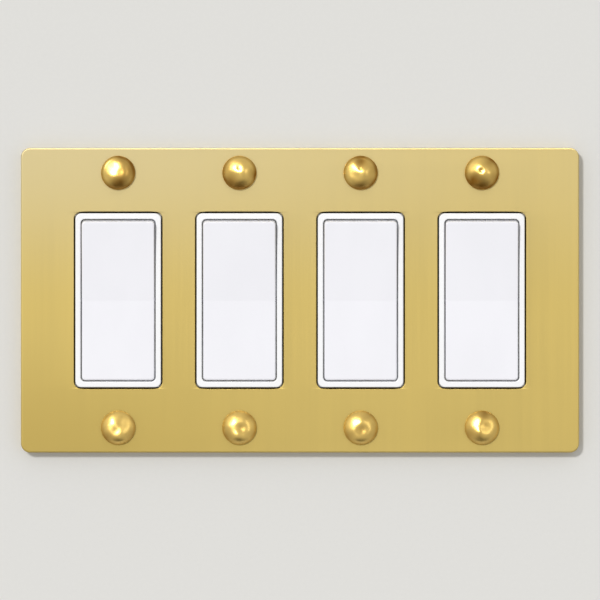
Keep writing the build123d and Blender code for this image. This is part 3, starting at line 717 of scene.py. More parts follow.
def driver_slot(bm, width, depth, top):
    """Cuts a slot along X across a head that is turned about Z."""
    half, floor = width / 2, top - depth
    cut(bm, "Z", floor)
    cut(bm, "Y", -half, half, low=(-FAR, -FAR, floor), high=(FAR, FAR, top))
    bmesh.ops.delete(bm, geom=faces_in(bm, (-FAR, -half, floor), (FAR, half, top)), context="FACES")
    sides = {side: [e for e in bm.edges if slot_edge(e, side * half, floor)] for side in (-1, 1)}
    ends = [e for e in bm.edges if e.is_boundary and all(abs(v.co.z - floor) < SAME for v in e.verts)]
    for side, wall in sides.items():
        corners = [v for v in bm.verts if abs(v.co.y - side * half) < SAME and abs(v.co.z - floor) < SAME]
        rail = bm.edges.new([v for v in corners if any(e in wall for e in v.link_edges)])
        bmesh.ops.contextual_create(bm, geom=wall + [rail])
        ends.append(rail)
    bmesh.ops.contextual_create(bm, geom=ends)


def slot_edge(edge, side, floor):
    """True for an open edge that lies in one side of a slot."""
    return edge.is_boundary and all(abs(v.co.y - side) < SAME and v.co.z > floor - SAME for v in edge.verts)


# How far a flat piece's UV map leans across and up with depth, so that no side folds to a line
LEAN_ACROSS = 0.6
LEAN_UP = 0.8


def map_flat(bm, name):
    """UV map of a flat piece: across on U and up on V."""
    layer = bm.loops.layers.uv.new(name)
    for face in bm.faces:
        for loop in face.loops:
            x, y, z = loop.vert.co
            loop[layer].uv = (x + LEAN_ACROSS * y, z + LEAN_UP * y)


def finish_piece(name, bm, material, body, nodes, weighted=True):
    """Turns a built mesh into a piece that rides on a body and stands for CAD nodes."""
    bm.normal_update()
    for face in bm.faces:
        face.smooth = True
    for edge in bm.edges:
        edge.smooth = edge.smooth and edge.calc_face_angle(0.0) < SHARP
    mesh = bpy.data.meshes.new(name)
    bm.to_mesh(mesh)
    bm.free()
    mesh.materials.append(material)
    piece = bpy.data.objects.new(name, mesh)
    bpy.context.scene.collection.objects.link(piece)
    if weighted:
        modifier = piece.modifiers.new("Face weighting", "WEIGHTED_NORMAL")
        modifier.mode = "FACE_AREA"
        modifier.weight = 100
        modifier.keep_sharp = True
    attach(piece, body)
    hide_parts(*nodes)
    return piece


def threaded_tail(bm, radius, screw, top, end):
    """Threaded shank with a chamfered tip, open at its top."""
    root = radius - screw.thread_depth
    shank_thread(bm, radius, screw.thread_depth, screw.pitch, top, end + screw.tip, screw.steps)
    tip = [(root, end + screw.tip), (root - TIP_TAPER * screw.tip, end), (0, end)]
    revolve_profile(bm, tip, screw.steps)


def stock_mesh(bm):
    """Mesh that add_stock can add to a piece many times."""
    stock = bpy.data.meshes.new("stock")
    bm.to_mesh(stock)
    bm.free()
    return stock


def add_stock(bm, stock):
    """Adds a stock mesh and returns its vertices."""
    before = len(bm.verts)
    bm.from_mesh(stock)
    bm.verts.ensure_lookup_table()
    return bm.verts[before:]


# Pieces

# Share of a square hole's half size by which its corners are rounded, just short of a full circle
NEARLY_ROUND = 0.98


class SWITCH_OT_wall_plate(bpy.types.Operator):
    """Build the brushed brass wall plate"""

    bl_idname = "switch.wall_plate"
    bl_label = "Wall Plate"

    def execute(self, context):
        settings = context.scene.rocker_switch
        plate = settings.plate
        bezel = settings.bezel
        opening_w = bezel.width / 2 + plate.opening_clearance
        opening_h = bezel.height / 2 + plate.opening_clearance
        opening_radius = bezel.corner_radius + plate.opening_clearance
        screw_z = DOMES_HIGH.z - settings.dome.radius
        openings = [(x, 0.0, opening_w, opening_h) for x in GANG_X]
        half = plate.hole_radius
        holes = [(x, z, half, half) for x in GANG_X for z in (screw_z, -screw_z)]
        windows = openings + holes
        bm = bmesh.new()
        front = -plate.depth
        back = front + plate.web
        pierced_sheet(bm, plate.width, plate.height, plate.corner_radius, windows, front, back)
        inner_x = plate.width / 2 - plate.rim
        inner_z = plate.height / 2 - plate.rim
        low = (-FAR, back - NEAR, -FAR)
        high = (FAR, back + NEAR, FAR)
        cut(bm, "X", -inner_x, inner_x, low=low, high=high)
        cut(bm, "Z", -inner_z, inner_z, low=low, high=high)
        backs = [f for f in bm.faces if f.normal.y > SQUARE_ON]
        middles = [(f, f.calc_center_median()) for f in backs]
        rim = [f for f, middle in middles if abs(middle.x) > inner_x or abs(middle.z) > inner_z]
        push(bm, rim, (0, plate.depth - plate.web, 0))
        for opening in openings:
            round_corners(bm, opening, opening_radius, OPENING_STEPS)
        for hole in holes:
            round_corners(bm, hole, NEARLY_ROUND * plate.hole_radius, HOLE_STEPS)
        bm.normal_update()
        outer = [edge for edge in rim_edges(bm, front) if not any(edge_in(edge, *w) for w in windows)]
        round_over(bm, outer, plate.edge_radius, EDGE_STEPS)
        bm.normal_update()
        inner = [edge for edge in rim_edges(bm, front) if any(edge_in(edge, *w) for w in openings)]
        round_over(bm, inner, plate.opening_edge, LIP_STEPS)
        bmesh.ops.recalc_face_normals(bm, faces=bm.faces[:])
        map_flat(bm, "brushing")
        brass = brushed_brass(settings.finish)
        finish_piece("brass_plate", bm, brass, "fixed", ["wall_plate"])
        return {"FINISHED"}


# Dents that hand finishing left in each dome, row by row from the upper left:
# middle across and up, spread and depth in millimetres, with bumps below zero
DENTS = (
    ((-2.7, 2.4, 2.3, 0.6), (1, 0.4, 1, 0.18), (3.6, -0.6, 1.4, -0.25)),
    ((-0.1, 1.7, 0.6, 0.24), (2.2, 0.6, 1.6, -0.45), (-2.6, -1.6, 1.6, 0.25), (1.4, -2.4, 1.2, -0.2)),
    ((0.3, 4.2, 1.6, 0.7), (-0.3, 1.5, 0.5, 0.16), (-2.4, -1, 1.5, 0.4), (2.2, 0.2, 1.6, -0.25)),
    ((-0.3, 0.9, 1.8, -0.55), (-0.3, 0.9, 0.8, 0.62), (2.9, 0, 1.1, -0.3), (-2.6, -1.8, 1.5, 0.35)),
    ((-0.8, -1.2, 1.4, 0.5), (2, 1.6, 2, 0.6), (0, -4.2, 2.2, -0.6)),
    ((0.5, -0.2, 1.5, 0.75), (0, -4.2, 2.2, -0.6)),
    ((0.3, -1, 1.5, 0.75), (0.2, 2.4, 1, -0.15), (0, -4.2, 2.2, -0.6)),
    ((1.2, 0.4, 1.5, 0.75), (-1, -1.8, 1.2, -0.3), (0, -4.2, 2.2, -0.5)),
)

# Brown on each dome in the same order and form, with its strength in place of the depth: partly tarnish, and
# partly painted shade and painted dark reflections on the lower edges and in dark bands
TARNISH_AND_PAINTED_SHADE = (
    ((-0.4, -6, 2.4, 1), (5.6, 2, 2.6, 0.75), (1.4, -2.6, 2.4, 0.5), (1.4, 5.8, 1.8, 0.5),
     (1, 0.8, 0.8, 0.3)),
    ((-3.6, -3.6, 2, 0.9), (0.8, -6.4, 2, 1), (6.2, -1, 1.6, 0.65), (-4.6, 1.6, 1.8, 0.35)),
    ((0, 4.4, 1.9, 0.85), (-0.4, -6.4, 2, 1), (5.8, 1.5, 1.7, 0.55), (5, -3.6, 1.6, 0.55),
     (0.2, 1.4, 0.5, 0.4)),
    ((-3.2, -3, 2.2, 0.95), (0.6, -6, 2.4, 1), (3.2, 4.2, 1.7, 0.6), (-0.3, 0.9, 0.5, 0.7),
     (5.6, -2, 1.6, 0.5)),
    ((-4.6, -3.6, 1.6, 0.55), (6.2, -2.6, 1.6, 0.45), (5.6, 3, 1.2, 0.25)),
    ((-5.2, -3.2, 1.6, 0.5), (0.6, -0.6, 1.2, 0.3), (6.4, -2.8, 1.4, 0.45), (3.6, 4.6, 1.4, 0.3)),
    ((-5.2, -3.2, 1.6, 0.45), (0.4, -1, 1.4, 0.4), (6.2, -2.8, 1.4, 0.45), (3.6, 4.8, 1.4, 0.25)),
    ((1, 5.2, 1.6, 0.75), (-4.8, -2.4, 1.6, 0.45), (-1.2, -2.8, 1.2, 0.35), (0.9, 1, 1, 0.25)),
)

# Share of a dome's height over which its dents set in, and shares of its rim that the lower chamfer takes
DENTS_SET_IN = 0.35
CHAMFER_RISE = 0.25
CHAMFER_INSET = 0.15

# How far a turned piece's UV map leans with depth, so that no side folds to a line
TURNED_LEAN = 0.5


def bell(spot, across, up, spread):
    """Bell curve about one place on a dome, given in millimetres."""
    away = Vector((spot.x - across * MM, spot.y - up * MM)).length / (spread * MM)
    return math.exp(-0.5 * away * away)


def dome_profile(dome, height):
    """Profile of a dome head from its crown to the top of its thread."""
    crown = height - dome.rim
    ball = (dome.radius**2 + crown**2) / (2 * crown)
    half = math.atan2(dome.radius, ball - crown)
    points = []
    for step in range(ARC_STEPS + 1):
        angle = half * step / ARC_STEPS
        points.append((ball * math.sin(angle), height - ball + ball * math.cos(angle)))
    root = dome.shank_radius - dome.thread_depth
    points.append((dome.radius, CHAMFER_RISE * dome.rim))
    points.append((dome.radius - CHAMFER_INSET * dome.rim, 0.0))
    points.append((root, 0.0))
    return points


def map_turned(bm, layer, centre_x, centre_z):
    """UV map of a turned piece: distance from the axis on U and angle on V."""
    for face in bm.faces:
        middle = face.calc_center_median()
        main = math.atan2(middle.z - centre_z, middle.x - centre_x)
        for loop in face.loops:
            offset = Vector((loop.vert.co.x - centre_x, loop.vert.co.z - centre_z))
            angle = math.atan2(offset.y, offset.x) if offset.length > NEAR else main
            turn = (angle - main + math.pi) % (2 * math.pi) - math.pi
            lean = TURNED_LEAN * loop.vert.co.y
            loop[layer].uv = (offset.length + lean, (main + turn) / (2 * math.pi))


class SWITCH_OT_dome_screws(bpy.types.Operator):
    """Build the domed brass plate screws"""

    bl_idname = "switch.dome_screws"
    bl_label = "Dome Screws"

    def execute(self, context):
        settings = context.scene.rocker_switch
        dome = settings.dome
        seat = -settings.plate.depth
        height = seat - DOMES_LOW.y
        tail = DOMES_HIGH.y - seat
        screw_z = DOMES_HIGH.z - dome.radius
        shank = bmesh.new()
        threaded_tail(shank, dome.shank_radius, dome, 0.0, -tail)
        stock = stock_mesh(shank)
        rows = ((screw_z, dome.upper_tarnish_and_shade), (-screw_z, dome.lower_tarnish_and_shade))
        places = [(x, z, rim_tarnish_and_shade) for z, rim_tarnish_and_shade in rows for x in GANG_X]
        bm = bmesh.new()
        for (x, z, rim_tarnish_and_shade), dents, tarnish_and_shade_spots in zip(places, DENTS, TARNISH_AND_PAINTED_SHADE):
            single = bmesh.new()
            layer = single.loops.layers.uv.new("turning")
            tarnish_and_shade_share = single.verts.layers.float.new("tarnish")
            revolve_profile(single, dome_profile(dome, height), dome.steps)
            add_stock(single, stock)
            bmesh.ops.remove_doubles(single, verts=single.verts[:], dist=SAME)
            bmesh.ops.recalc_face_normals(single, faces=single.faces[:])
            drift = Vector((x, z, 0)) / dome.wave
            for vert in single.verts:
                if vert.co.z > dome.rim:
                    share = min(1.0, (vert.co.z - dome.rim) / (DENTS_SET_IN * height))
                    lift = noise.noise(vert.co / dome.wave + drift) * dome.waviness
                    lift -= sum(depth * MM * bell(vert.co, *dent) for *dent, depth in dents)
                    # Brown round the rim and in spots: partly tarnish, partly painted shade and painted dark
                    # reflection, weaker on the lower row
                    edge = max(0.0, vert.co.xy.length / dome.radius - dome.clean) / (1 - dome.clean)
                    spot_tarnish_and_shade = sum(strength * bell(vert.co, *spot) for *spot, strength in tarnish_and_shade_spots)
                    vert[tarnish_and_shade_share] = min(1.0, spot_tarnish_and_shade + rim_tarnish_and_shade * edge)
                    vert.co.z += lift * share
            place = Matrix.Translation((x, seat, z)) @ FACE_ROOM
            bmesh.ops.transform(single, matrix=place, verts=single.verts[:])
            map_turned(single, layer, x, z)
            finished = stock_mesh(single)
            add_stock(bm, finished)
            bpy.data.meshes.remove(finished)
        bpy.data.meshes.remove(stock)
        brass = turned_brass(settings.finish)
        finish_piece("brass_domes", bm, brass, "fixed", ["dome_screws"], weighted=False)
        return {"FINISHED"}


def outer_seam(edge, inner_w, inner_h):
    """True for an edge that was cut outwards from the corner of a window."""
    level = all(abs(abs(v.co.z) - inner_h) < SAME for v in edge.verts)
    beside = all(abs(v.co.x) > inner_w - SAME for v in edge.verts)
    return level and beside and max(abs(v.co.x) for v in edge.verts) > inner_w + SAME


class SWITCH_OT_bezels(bpy.types.Operator):
    """Build the white frames round the rockers"""

    bl_idname = "switch.bezels"
    bl_label = "Bezels"

    def execute(self, context):
        settings = context.scene.rocker_switch
        bezel = settings.bezel
        material = moulded_white("bezel_white", settings.finish.bezel_white, 0.24)
        front, back = BEZEL_LOW.y, BEZEL_HIGH.y
        half_w, half_h = bezel.width / 2, bezel.height / 2
        inner_w, inner_h = half_w - bezel.side_wall, half_h - bezel.end_wall
        flange_front = back - bezel.flange
        reach = BEZEL_HIGH.z - half_h
        half_flange = bezel.flange_width / 2
        for gang, x in zip(GANGS, GANG_X):
            bm = bmesh.new()
            window = (0, 0, inner_w, inner_h)
            pierced_sheet(bm, bezel.width, bezel.height, bezel.corner_radius, [window], front, back)
            cut(bm, "X", 0.0)
            seams = [edge for edge in bm.edges if outer_seam(edge, inner_w, inner_h)]
            bmesh.ops.dissolve_edges(bm, edges=seams, use_verts=True)
            round_corners(bm, window, bezel.inner_radius, OPENING_STEPS)
            bm.normal_update()
            round_over(bm, rim_edges(bm, front), bezel.edge_radius, EDGE_STEPS)
            cut(bm, "X", -half_flange, half_flange)
            cut(bm, "Y", flange_front, PIVOT_DEPTH - bezel.socket_radius, PIVOT_DEPTH + bezel.socket_radius)
            cut(bm, "Z", -bezel.socket_radius, bezel.socket_radius)
            for side in (1, -1):
                end = side * half_h
                low, high = end - NEAR, end + NEAR
                faces = faces_in(bm, (-half_flange, flange_front, low), (half_flange, back, high))
                push(bm, faces, (0, 0, side * reach))
                wall = side * inner_w
                low = (wall - NEAR, PIVOT_DEPTH - bezel.socket_radius, -bezel.socket_radius)
                high = (wall + NEAR, PIVOT_DEPTH + bezel.socket_radius, bezel.socket_radius)
                push(bm, faces_in(bm, low, high), (side * bezel.socket_depth, 0, 0))
            bmesh.ops.recalc_face_normals(bm, faces=bm.faces[:])
            bmesh.ops.translate(bm, vec=(x, 0, 0), verts=bm.verts[:])
            finish_piece(f"white_bezel_{gang}", bm, material, "fixed", [f"bezel_{gang}"])
        return {"FINISHED"}


def rocker_half(bm, rocker):
    """Upper half of a level rocker about its pivot, left open where the halves meet."""
    half = rocker.width / 2
    radius = rocker.end_radius
    tilt = ROCKER_TILT
    tip_rise = tilt + math.asin(rocker.front * math.cos(tilt) / radius)
    heel_rise = tilt - math.asin(rocker.back * math.cos(tilt) / radius)
    crease = bm.verts.new((-half, -rocker.front, 0))
    tip = bm.verts.new((-half, -radius * math.sin(tip_rise), radius * math.cos(tip_rise)))
    swept = bmesh.ops.spin(
        bm, geom=[tip], cent=(0, 0, 0), axis=(-1, 0, 0), angle=tip_rise - heel_rise, steps=END_STEPS
    )
    heel = made_verts({"geom": swept["geom_last"]})[0]
    middle = bm.verts.new((-half, rocker.back, 0))
    bm.edges.new((crease, tip))
    bm.edges.new((heel, middle))
    bm.edges.new((middle, crease))
    bmesh.ops.contextual_create(bm, geom=bm.edges[:])
    grown = bmesh.ops.extrude_face_region(bm, geom=bm.faces[:], use_keep_orig=True)
    bmesh.ops.translate(bm, vec=(rocker.width, 0, 0), verts=made_verts(grown))
    joint = [f for f in bm.faces if all(abs(v.co.z) < SAME for v in f.verts)]
    bmesh.ops.delete(bm, geom=joint, context="FACES_ONLY")


def end_corner(edge, rocker):
    """True for an edge of a rocker's curved end that lies in one of its sides."""
    ends = [vert.co for vert in edge.verts]
    on_side = all(abs(abs(end.x) - rocker.width / 2) < SAME for end in ends)
    on_end = all(abs(end.yz.length - rocker.end_radius) < NEAR for end in ends)
    return on_side and on_end and ends[0].x * ends[1].x > 0


def face_border(edge):
    """True for an edge between a rocker's face and its sides or ends."""
    facing = [face.normal.y < -SQUARE_ON for face in edge.link_faces]
    return len(facing) == 2 and sum(facing) == 1


def rocker_body(bm, rocker):
    """Hollow body of a level rocker about its pivot, with a sharp crease across its middle."""
    rocker_half(bm, rocker)
    bmesh.ops.mirror(bm, geom=bm.verts[:] + bm.edges[:] + bm.faces[:], axis="Z", merge_dist=NEAR)
    bmesh.ops.recalc_face_normals(bm, faces=bm.faces[:])
    corners = [edge for edge in bm.edges if end_corner(edge, rocker)]
    round_over(bm, corners, rocker.corner_radius, HOLE_STEPS)
    bm.normal_update()
    borders = [edge for edge in bm.edges if face_border(edge)]
    round_over(bm, borders, rocker.edge_radius, EDGE_STEPS)
    bm.normal_update()
    backs = [face for face in bm.faces if face.normal.y > SQUARE_ON]
    bmesh.ops.inset_region(
        bm, faces=backs, thickness=rocker.wall, use_even_offset=True, use_boundary=True
    )
    slope = math.tan(2 * ROCKER_TILT) / 2
    for vert in push(bm, backs, (0, 0, 0)):
        vert.co.y = rocker.face - rocker.front - slope * abs(vert.co.z)
    for edge in bm.edges:
        if all(abs(vert.co.z) < SAME for vert in edge.verts):
            edge.smooth = False


def rocker_fittings(bm, rocker):
    """Adds a rocker's hollow post and its two pivots, each a closed shape of its own."""
    known = set(bm.verts)
    outer, bore = rocker.post_radius, rocker.post_bore
    root = rocker.face / 2 - rocker.front
    post = [(0, root), (outer, root), (outer, rocker.post_end), (bore, rocker.post_end)]
    post += [(bore, rocker.bore_floor), (0, rocker.bore_floor)]
    revolve_profile(bm, post, POST_STEPS)
    fresh = [vert for vert in bm.verts if vert not in known]
    bmesh.ops.transform(bm, matrix=FACE_ROOM.inverted(), verts=fresh)
    inner = (rocker.width - rocker.wall) / 2
    for side in (1, -1):
        middle = side * (rocker.trunnion_reach + inner) / 2
        bmesh.ops.create_cone(
            bm,
            cap_ends=True,
            segments=PIVOT_STEPS,
            radius1=rocker.trunnion_radius,
            radius2=rocker.trunnion_radius,
            depth=rocker.trunnion_reach - inner,
            matrix=Matrix.Translation((middle, 0, 0)) @ Matrix.Rotation(math.pi / 2, 4, "Y"),
        )
    added = [face for face in bm.faces if face.verts[0] not in known]
    bmesh.ops.recalc_face_normals(bm, faces=added)


class SWITCH_OT_rockers(bpy.types.Operator):
    """Build the white rockers with their posts and pivots"""

    bl_idname = "switch.rockers"
    bl_label = "Rockers"

    def execute(self, context):
        settings = context.scene.rocker_switch
        material = moulded_white("rocker_white", settings.finish.rocker_white, 0.20)
        for gang, x in zip(GANGS, GANG_X):
            bm = bmesh.new()
            rocker_body(bm, settings.rocker)
            rocker_fittings(bm, settings.rocker)
            place = Matrix.Translation((x, PIVOT_DEPTH, 0)) @ Matrix.Rotation(ROCKER_TILT, 4, "X")
            bmesh.ops.transform(bm, matrix=place, verts=bm.verts[:])
            body, node = f"rocker_body_{gang}", f"rocker_{gang}"
            finish_piece(f"white_rocker_{gang}", bm, material, body, [node])
        return {"FINISHED"}


# Share of a box screw head's radius that its flat top takes
HEAD_FLAT = 0.75


class SWITCH_OT_box_screws(bpy.types.Operator):
    """Build the slotted steel screws that hold the straps to the box"""

    bl_idname = "switch.box_screws"
    bl_label = "Box Screws"

    def execute(self, context):
        settings = context.scene.rocker_switch
        screw = settings.screw
        head, height = screw.head_radius, screw.head_height
        seat = BOX_SCREWS_LOW.y + height
        end = seat - BOX_SCREWS_HIGH.y
        root = screw.radius - screw.thread_depth
        screw_z = BOX_SCREWS_HIGH.z - head
        outline = [(0, height), (HEAD_FLAT * head, height), (head, height / 2), (head, 0)]
        outline += [(screw.neck_radius, 0), (screw.neck_radius, -screw.neck), (root, -screw.neck)]
        single = bmesh.new()
        revolve_profile(single, outline, screw.steps)
        driver_slot(single, screw.slot_width, screw.slot_depth, height)
        threaded_tail(single, screw.radius, screw, -screw.neck, end)
        bmesh.ops.remove_doubles(single, verts=single.verts[:], dist=SAME)
        bmesh.ops.recalc_face_normals(single, faces=single.faces[:])
        stock = stock_mesh(single)
        bm = bmesh.new()
        for x in GANG_X:
            for z in (screw_z, -screw_z):
                fresh = add_stock(bm, stock)
                place = Matrix.Translation((x, seat, z)) @ FACE_ROOM
                bmesh.ops.transform(bm, matrix=place, verts=fresh)
        bpy.data.meshes.remove(stock)
        steel = plated_steel(settings.finish, "zinc_box_screws", False)
        finish_piece("steel_box_screws", bm, steel, "fixed", ["box_screws"], weighted=False)
        return {"FINISHED"}


class SWITCH_OT_plunger_springs(bpy.types.Operator):
    """Build the springs in the rockers' posts at one length, though on the real switch they shorten as the
    plungers slide in
    """

    bl_idname = "switch.plunger_springs"
    bl_label = "Plunger Springs"

    def execute(self, context):
        settings = context.scene.rocker_switch
        spring = settings.spring
        foot = settings.rocker.bore_floor + spring.clearance
        whole = spring.heel - spring.clearance - foot
        rise = whole - 2 * spring.wire_radius
        steps = spring.steps * spring.turns
        wire = Matrix.Translation((spring.coil_radius, 0, spring.wire_radius)) @ FACE_ROOM
        turn = Matrix.Rotation(ROCKER_TILT - math.pi / 2, 4, "X")
        steel = plated_steel(settings.finish, "spring_steel", False)
        for gang, x in zip(GANGS, GANG_X):
            bm = bmesh.new()
            bmesh.ops.create_circle(bm, segments=WIRE_STEPS, radius=spring.wire_radius, matrix=wire)
            bmesh.ops.spin(
                bm,
                geom=bm.verts[:] + bm.edges[:],
                cent=(0, 0, 0),
                axis=(0, 0, 1),
                dvec=(0, 0, rise / steps),
                angle=2 * math.pi * spring.turns,
                steps=steps,
            )
            bmesh.ops.holes_fill(bm, edges=[e for e in bm.edges if e.is_boundary], sides=0)
            bmesh.ops.recalc_face_normals(bm, faces=bm.faces[:])
            place = Matrix.Translation((x, PIVOT_DEPTH, 0)) @ turn @ Matrix.Translation((0, 0, foot))
            bmesh.ops.transform(bm, matrix=place, verts=bm.verts[:])
            name, body, node = f"steel_spring_{gang}", f"rocker_body_{gang}", f"plunger_spring_{gang}"
            piece = finish_piece(name, bm, steel, body, [node], weighted=False)
            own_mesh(piece)
        return {"FINISHED"}


class SWITCH_OT_rear_finishes(bpy.types.Operator):
    """Give the pieces behind the plate their finishes"""

    bl_idname = "switch.rear_finishes"
    bl_label = "Rear Finishes"

    def execute(self, context):
        look = context.scene.rocker_switch.finish
        strap = plated_steel(look, "zinc_strap", True)
        steel = plated_steel(look, "zinc_screws", False)
        brass = plain_metal("terminal_brass", look.terminal_brass, 0.34, 0.25)
        silver = plain_metal("contact_silver", look.silver, 0.26, 0.2)
        shared = {
            "terminal_screws": plain_metal("screw_brass", look.terminal_brass, 0.30, 0.3),
            "clamp_plates": steel,
            "earth_screws": plain_metal("earth_green", look.earth_green, 0.33, 0.35),
            "screw_washers": soft_solid("red_fibre", look.fibre, 0.7, 0.25),
            "strap_rivets": steel,
            "fixed_contacts": silver,
        }
        each = {
            "plunger": soft_solid("nylon", look.nylon, 0.4, 0.05),
            "mounting_strap": strap,
            "rear_housing": moulded_black(look),
            "common_terminal": brass,
            "load_terminal": brass,
            "contact_arm": plain_metal("arm_copper", look.copper, 0.32, 0.25),
            "moving_contact": silver,
        }
        finishes = dict(shared)
        for name, material in each.items():
            for gang in GANGS:
                finishes[f"{name}_{gang}"] = material
        for name, material in finishes.items():
            mesh = frame["nodes"][name].data
            mesh.materials.clear()
            mesh.materials.append(material)
        return {"FINISHED"}


# Stage
def add_object(name, data, location=(0, 0, 0), aim=None):
    """Adds an object and points its -Z axis along a direction."""
    made = bpy.data.objects.new(name, data)
    bpy.context.scene.collection.objects.link(made)
    made.location = location
    if aim is not None:
        made.rotation_euler = Vector(aim).to_track_quat("-Z", "Y").to_euler()
    return made


def one_sided(name, tint):
    """Matt surface that shows from the room and not from behind."""
    finish = Finish(name)
    stipple = finish.grain((700, 700, 700), 2.0)
    base = finish.mix(finish.spread(stipple, 0.0, 1.0), scaled(tint, 0.995), scaled(tint, 1.005))
    material = finish.shade(Base_Color=base, Roughness=0.9, Specular_IOR_Level=0.1)
    clear = finish.node("ShaderNodeBsdfTransparent")
    either = finish.node("ShaderNodeMixShader")
    side = finish.node("ShaderNodeNewGeometry")
    output = next(n for n in finish.tree.nodes if n.type == "OUTPUT_MATERIAL")
    finish.put(either.inputs[0], side.outputs["Backfacing"])
    finish.put(either.inputs[1], finish.shader.outputs["BSDF"])
    finish.put(either.inputs[2], clear.outputs["BSDF"])
    finish.put(output.inputs["Surface"], either.outputs["Shader"])
    return material


def stage_frame(name, tint, depth, outer, inner, centres=(0.0,)):
    """Stage sheet that faces the room: a frame, given by its half sizes, round each centre across."""
    bm = bmesh.new()
    for x in centres:
        known = set(bm.verts)
        place = Matrix.Translation((0, depth, 0)) @ FACE_ROOM @ Matrix.Diagonal((*outer, 1, 1))
        made = bmesh.ops.create_grid(bm, x_segments=3, y_segments=3, size=1.0, matrix=place)["verts"]
        for vert in made:
            if abs(abs(vert.co.x) - outer[0]) > NEAR:
                vert.co.x = math.copysign(inner[0], vert.co.x)
            if abs(abs(vert.co.z) - outer[1]) > NEAR:
                vert.co.z = math.copysign(inner[1], vert.co.z)
        fresh = [face for face in bm.faces if face.verts[0] not in known]
        middle = [face for face in fresh if face.calc_center_median().xz.length < NEAR]
        bmesh.ops.delete(bm, geom=middle, context="FACES")
        bmesh.ops.translate(bm, vec=(x, 0, 0), verts=made)
    mesh = bpy.data.meshes.new(name)
    bm.to_mesh(mesh)
    bm.free()
    mesh.materials.append(one_sided(name, tint))
    add_object(name, mesh)


def softbox_lamp(name, power, size, distance, direction, piece=None):
    """Flat lamp that looks at the switch, or at one piece of it, and that the camera doesn't see."""
    lamp = bpy.data.lights.new(name, "AREA")
    lamp.shape = "RECTANGLE"
    lamp.size, lamp.size_y = size
    lamp.energy = power
    spot = Vector(direction).normalized() * distance
    made = add_object(name, lamp, spot, -spot)
    made.visible_camera = False
    if piece:
        lamp.cycles.max_bounces = 0
        lit = bpy.data.collections.new(name)
        lit.objects.link(bpy.data.objects[piece])
        made.light_linking.receiver_collection = lit


# Heights in the room where its levels change, from 0 straight down to 1 straight up
FLOOR_END = 0.03
SKY_START = 0.18
SKY_END = 0.5
CEILING_START = 0.95


def room_light(stage):
    """Light from the room, stronger from above and dim from the floor."""
    world = bpy.data.worlds.new("Room")
    bpy.context.scene.world = world
    world.use_nodes = True
    tree = world.node_tree
    background = tree.nodes["Background"]
    place = tree.nodes.new("ShaderNodeTexCoord")
    split = tree.nodes.new("ShaderNodeSeparateXYZ")
    height = tree.nodes.new("ShaderNodeMapRange")
    level = tree.nodes.new("ShaderNodeValToRGB")
    tree.links.new(place.outputs["Generated"], split.inputs["Vector"])
    tree.links.new(split.outputs["Z"], height.inputs["Value"])
    height.inputs["From Min"].default_value = -1.0
    tree.links.new(height.outputs["Result"], level.inputs["Fac"])
    steps = level.color_ramp.elements
    steps[0].position = FLOOR_END
    steps[0].color = (stage.floor, stage.floor, stage.floor, 1.0)
    steps[1].position = CEILING_START
    steps[1].color = (stage.ceiling, stage.ceiling, stage.ceiling, 1.0)
    for position in (SKY_START, SKY_END):
        middle = steps.new(position)
        middle.color = (stage.sky, stage.sky, stage.sky, 1.0)
    tree.links.new(level.outputs["Color"], background.inputs["Color"])


# Softboxes: name, power setting, width and height, distance, direction from the switch and piece lit
SOFTBOXES = (
    ("Softbox", "softbox", (0.5, 1.1), 2.0, (-0.48, -0.76, 0.44), "brass_domes"),
    ("Side box", "side_box", (0.5, 1.4), 2.0, (0.62, -0.75, 0.15), "brass_domes"),
    ("Plate box", "plate_box", (0.45, 0.45), 1.0, (-0.42, -0.75, 0.5), "brass_plate"),
    ("Plate left box", "plate_side", (1.5, 1.5), 2.0, (-0.75, -0.6, -0.33), "brass_plate"),
    ("Plate right box", "plate_side", (1.5, 1.5), 2.0, (0.75, -0.6, -0.33), "brass_plate"),
    ("Plate lower box", "plate_side", (1.5, 1.5), 2.0, (0.0, -0.5, -0.87), "brass_plate"),
    ("Edge box", "edge_box", (1.2, 0.2), 1.2, (0.0, -0.5, 0.87), "brass_plate"),
    ("Rear", "rear", (0.8, 0.8), 1.25, (0.5, 0.9, 0.7), None),
)


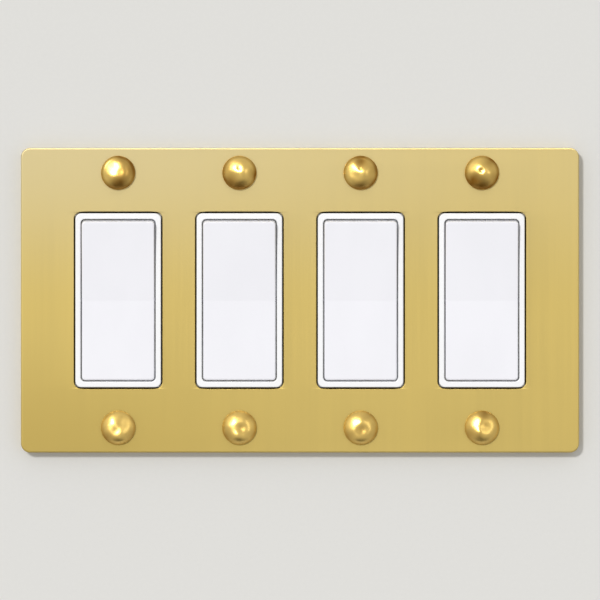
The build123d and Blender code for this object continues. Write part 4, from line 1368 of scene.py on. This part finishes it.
class SWITCH_OT_stage(bpy.types.Operator):
    """Set the wall, the lamps and the camera"""

    bl_idname = "switch.stage"
    bl_label = "Stage"

    def execute(self, context):
        scene = context.scene
        stage = scene.rocker_switch.stage
        plate = scene.rocker_switch.plate
        bezel = scene.rocker_switch.bezel
        opening = ((plate.width - plate.rim) / 2, (plate.height - plate.rim) / 2)
        stage_frame("wall", stage.wall, -stage.wall_step, (stage.wall_reach, stage.wall_reach), opening)
        # Black frames behind the gaps are painted shade, in place of the shaded inside of the wall box
        inner = (bezel.width / 2, bezel.height / 2)
        border = plate.opening_clearance + stage.gap_border
        outer = (inner[0] + border, inner[1] + border)
        behind = plate.web + stage.gap_depth - plate.depth
        stage_frame("dark_gaps", stage.gap_painted_shade, behind, outer, inner, GANG_X)
        room_light(stage)

        key = bpy.data.lights.new("Key", "SUN")
        key.energy = stage.key
        key.angle = stage.key_size
        add_object("Key", key, aim=(stage.key_slope, 1, -stage.key_slope))
        for name, power, size, distance, direction, piece in SOFTBOXES:
            softbox_lamp(name, getattr(stage, power), size, distance, direction, piece)

        camera = bpy.data.cameras.new("Camera")
        camera.sensor_width = 36.0
        camera.lens = camera.sensor_width * stage.camera_distance / stage.view_width
        camera.clip_start = 0.01
        stand = (0, PLATE_LOW.y - stage.camera_distance, stage.camera_rise)
        scene.camera = add_object("Camera", camera, stand, (0, 1, 0))
        scene.view_settings.view_transform = "Standard"
        return {"FINISHED"}


BUILDERS = (
    SWITCH_OT_wall_plate,
    SWITCH_OT_dome_screws,
    SWITCH_OT_bezels,
    SWITCH_OT_rockers,
    SWITCH_OT_box_screws,
    SWITCH_OT_plunger_springs,
    SWITCH_OT_rear_finishes,
    SWITCH_OT_stage,
)


class SWITCH_PT_panel(bpy.types.Panel):
    """Builders of the switch and the sizes they use"""

    bl_idname = "SWITCH_PT_panel"
    bl_label = "Rocker Light Switch"
    bl_space_type = "VIEW_3D"
    bl_region_type = "UI"
    bl_category = "Switch"

    def draw(self, context):
        settings = context.scene.rocker_switch
        for builder in BUILDERS:
            self.layout.operator(builder.bl_idname)
        for name in ("plate", "dome", "bezel", "rocker", "screw", "spring", "finish", "stage"):
            group = getattr(settings, name)
            box = self.layout.box()
            box.label(text=name.title())
            for key in group.__annotations__:
                box.prop(group, key)


SETTINGS = (
    PlateSettings,
    DomeSettings,
    BezelSettings,
    RockerSettings,
    ScrewSettings,
    SpringSettings,
    FinishSettings,
    StageSettings,
    SwitchSettings,
)


def register():
    """Adds the classes and the settings to Blender."""
    for made in (*SETTINGS, *BUILDERS, SWITCH_PT_panel):
        bpy.utils.register_class(made)
    bpy.types.Scene.rocker_switch = PointerProperty(type=SwitchSettings)


def unregister():
    """Takes the classes and the settings out again."""
    del bpy.types.Scene.rocker_switch
    for made in reversed((*SETTINGS, *BUILDERS, SWITCH_PT_panel)):
        bpy.utils.unregister_class(made)


def main():
    """Builds the switch and its stage."""
    register()
    bpy.ops.switch.wall_plate()
    bpy.ops.switch.dome_screws()
    bpy.ops.switch.bezels()
    bpy.ops.switch.rockers()
    bpy.ops.switch.box_screws()
    bpy.ops.switch.plunger_springs()
    bpy.ops.switch.rear_finishes()
    bpy.ops.switch.stage()
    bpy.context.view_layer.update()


if __name__ == "__main__":
    main()
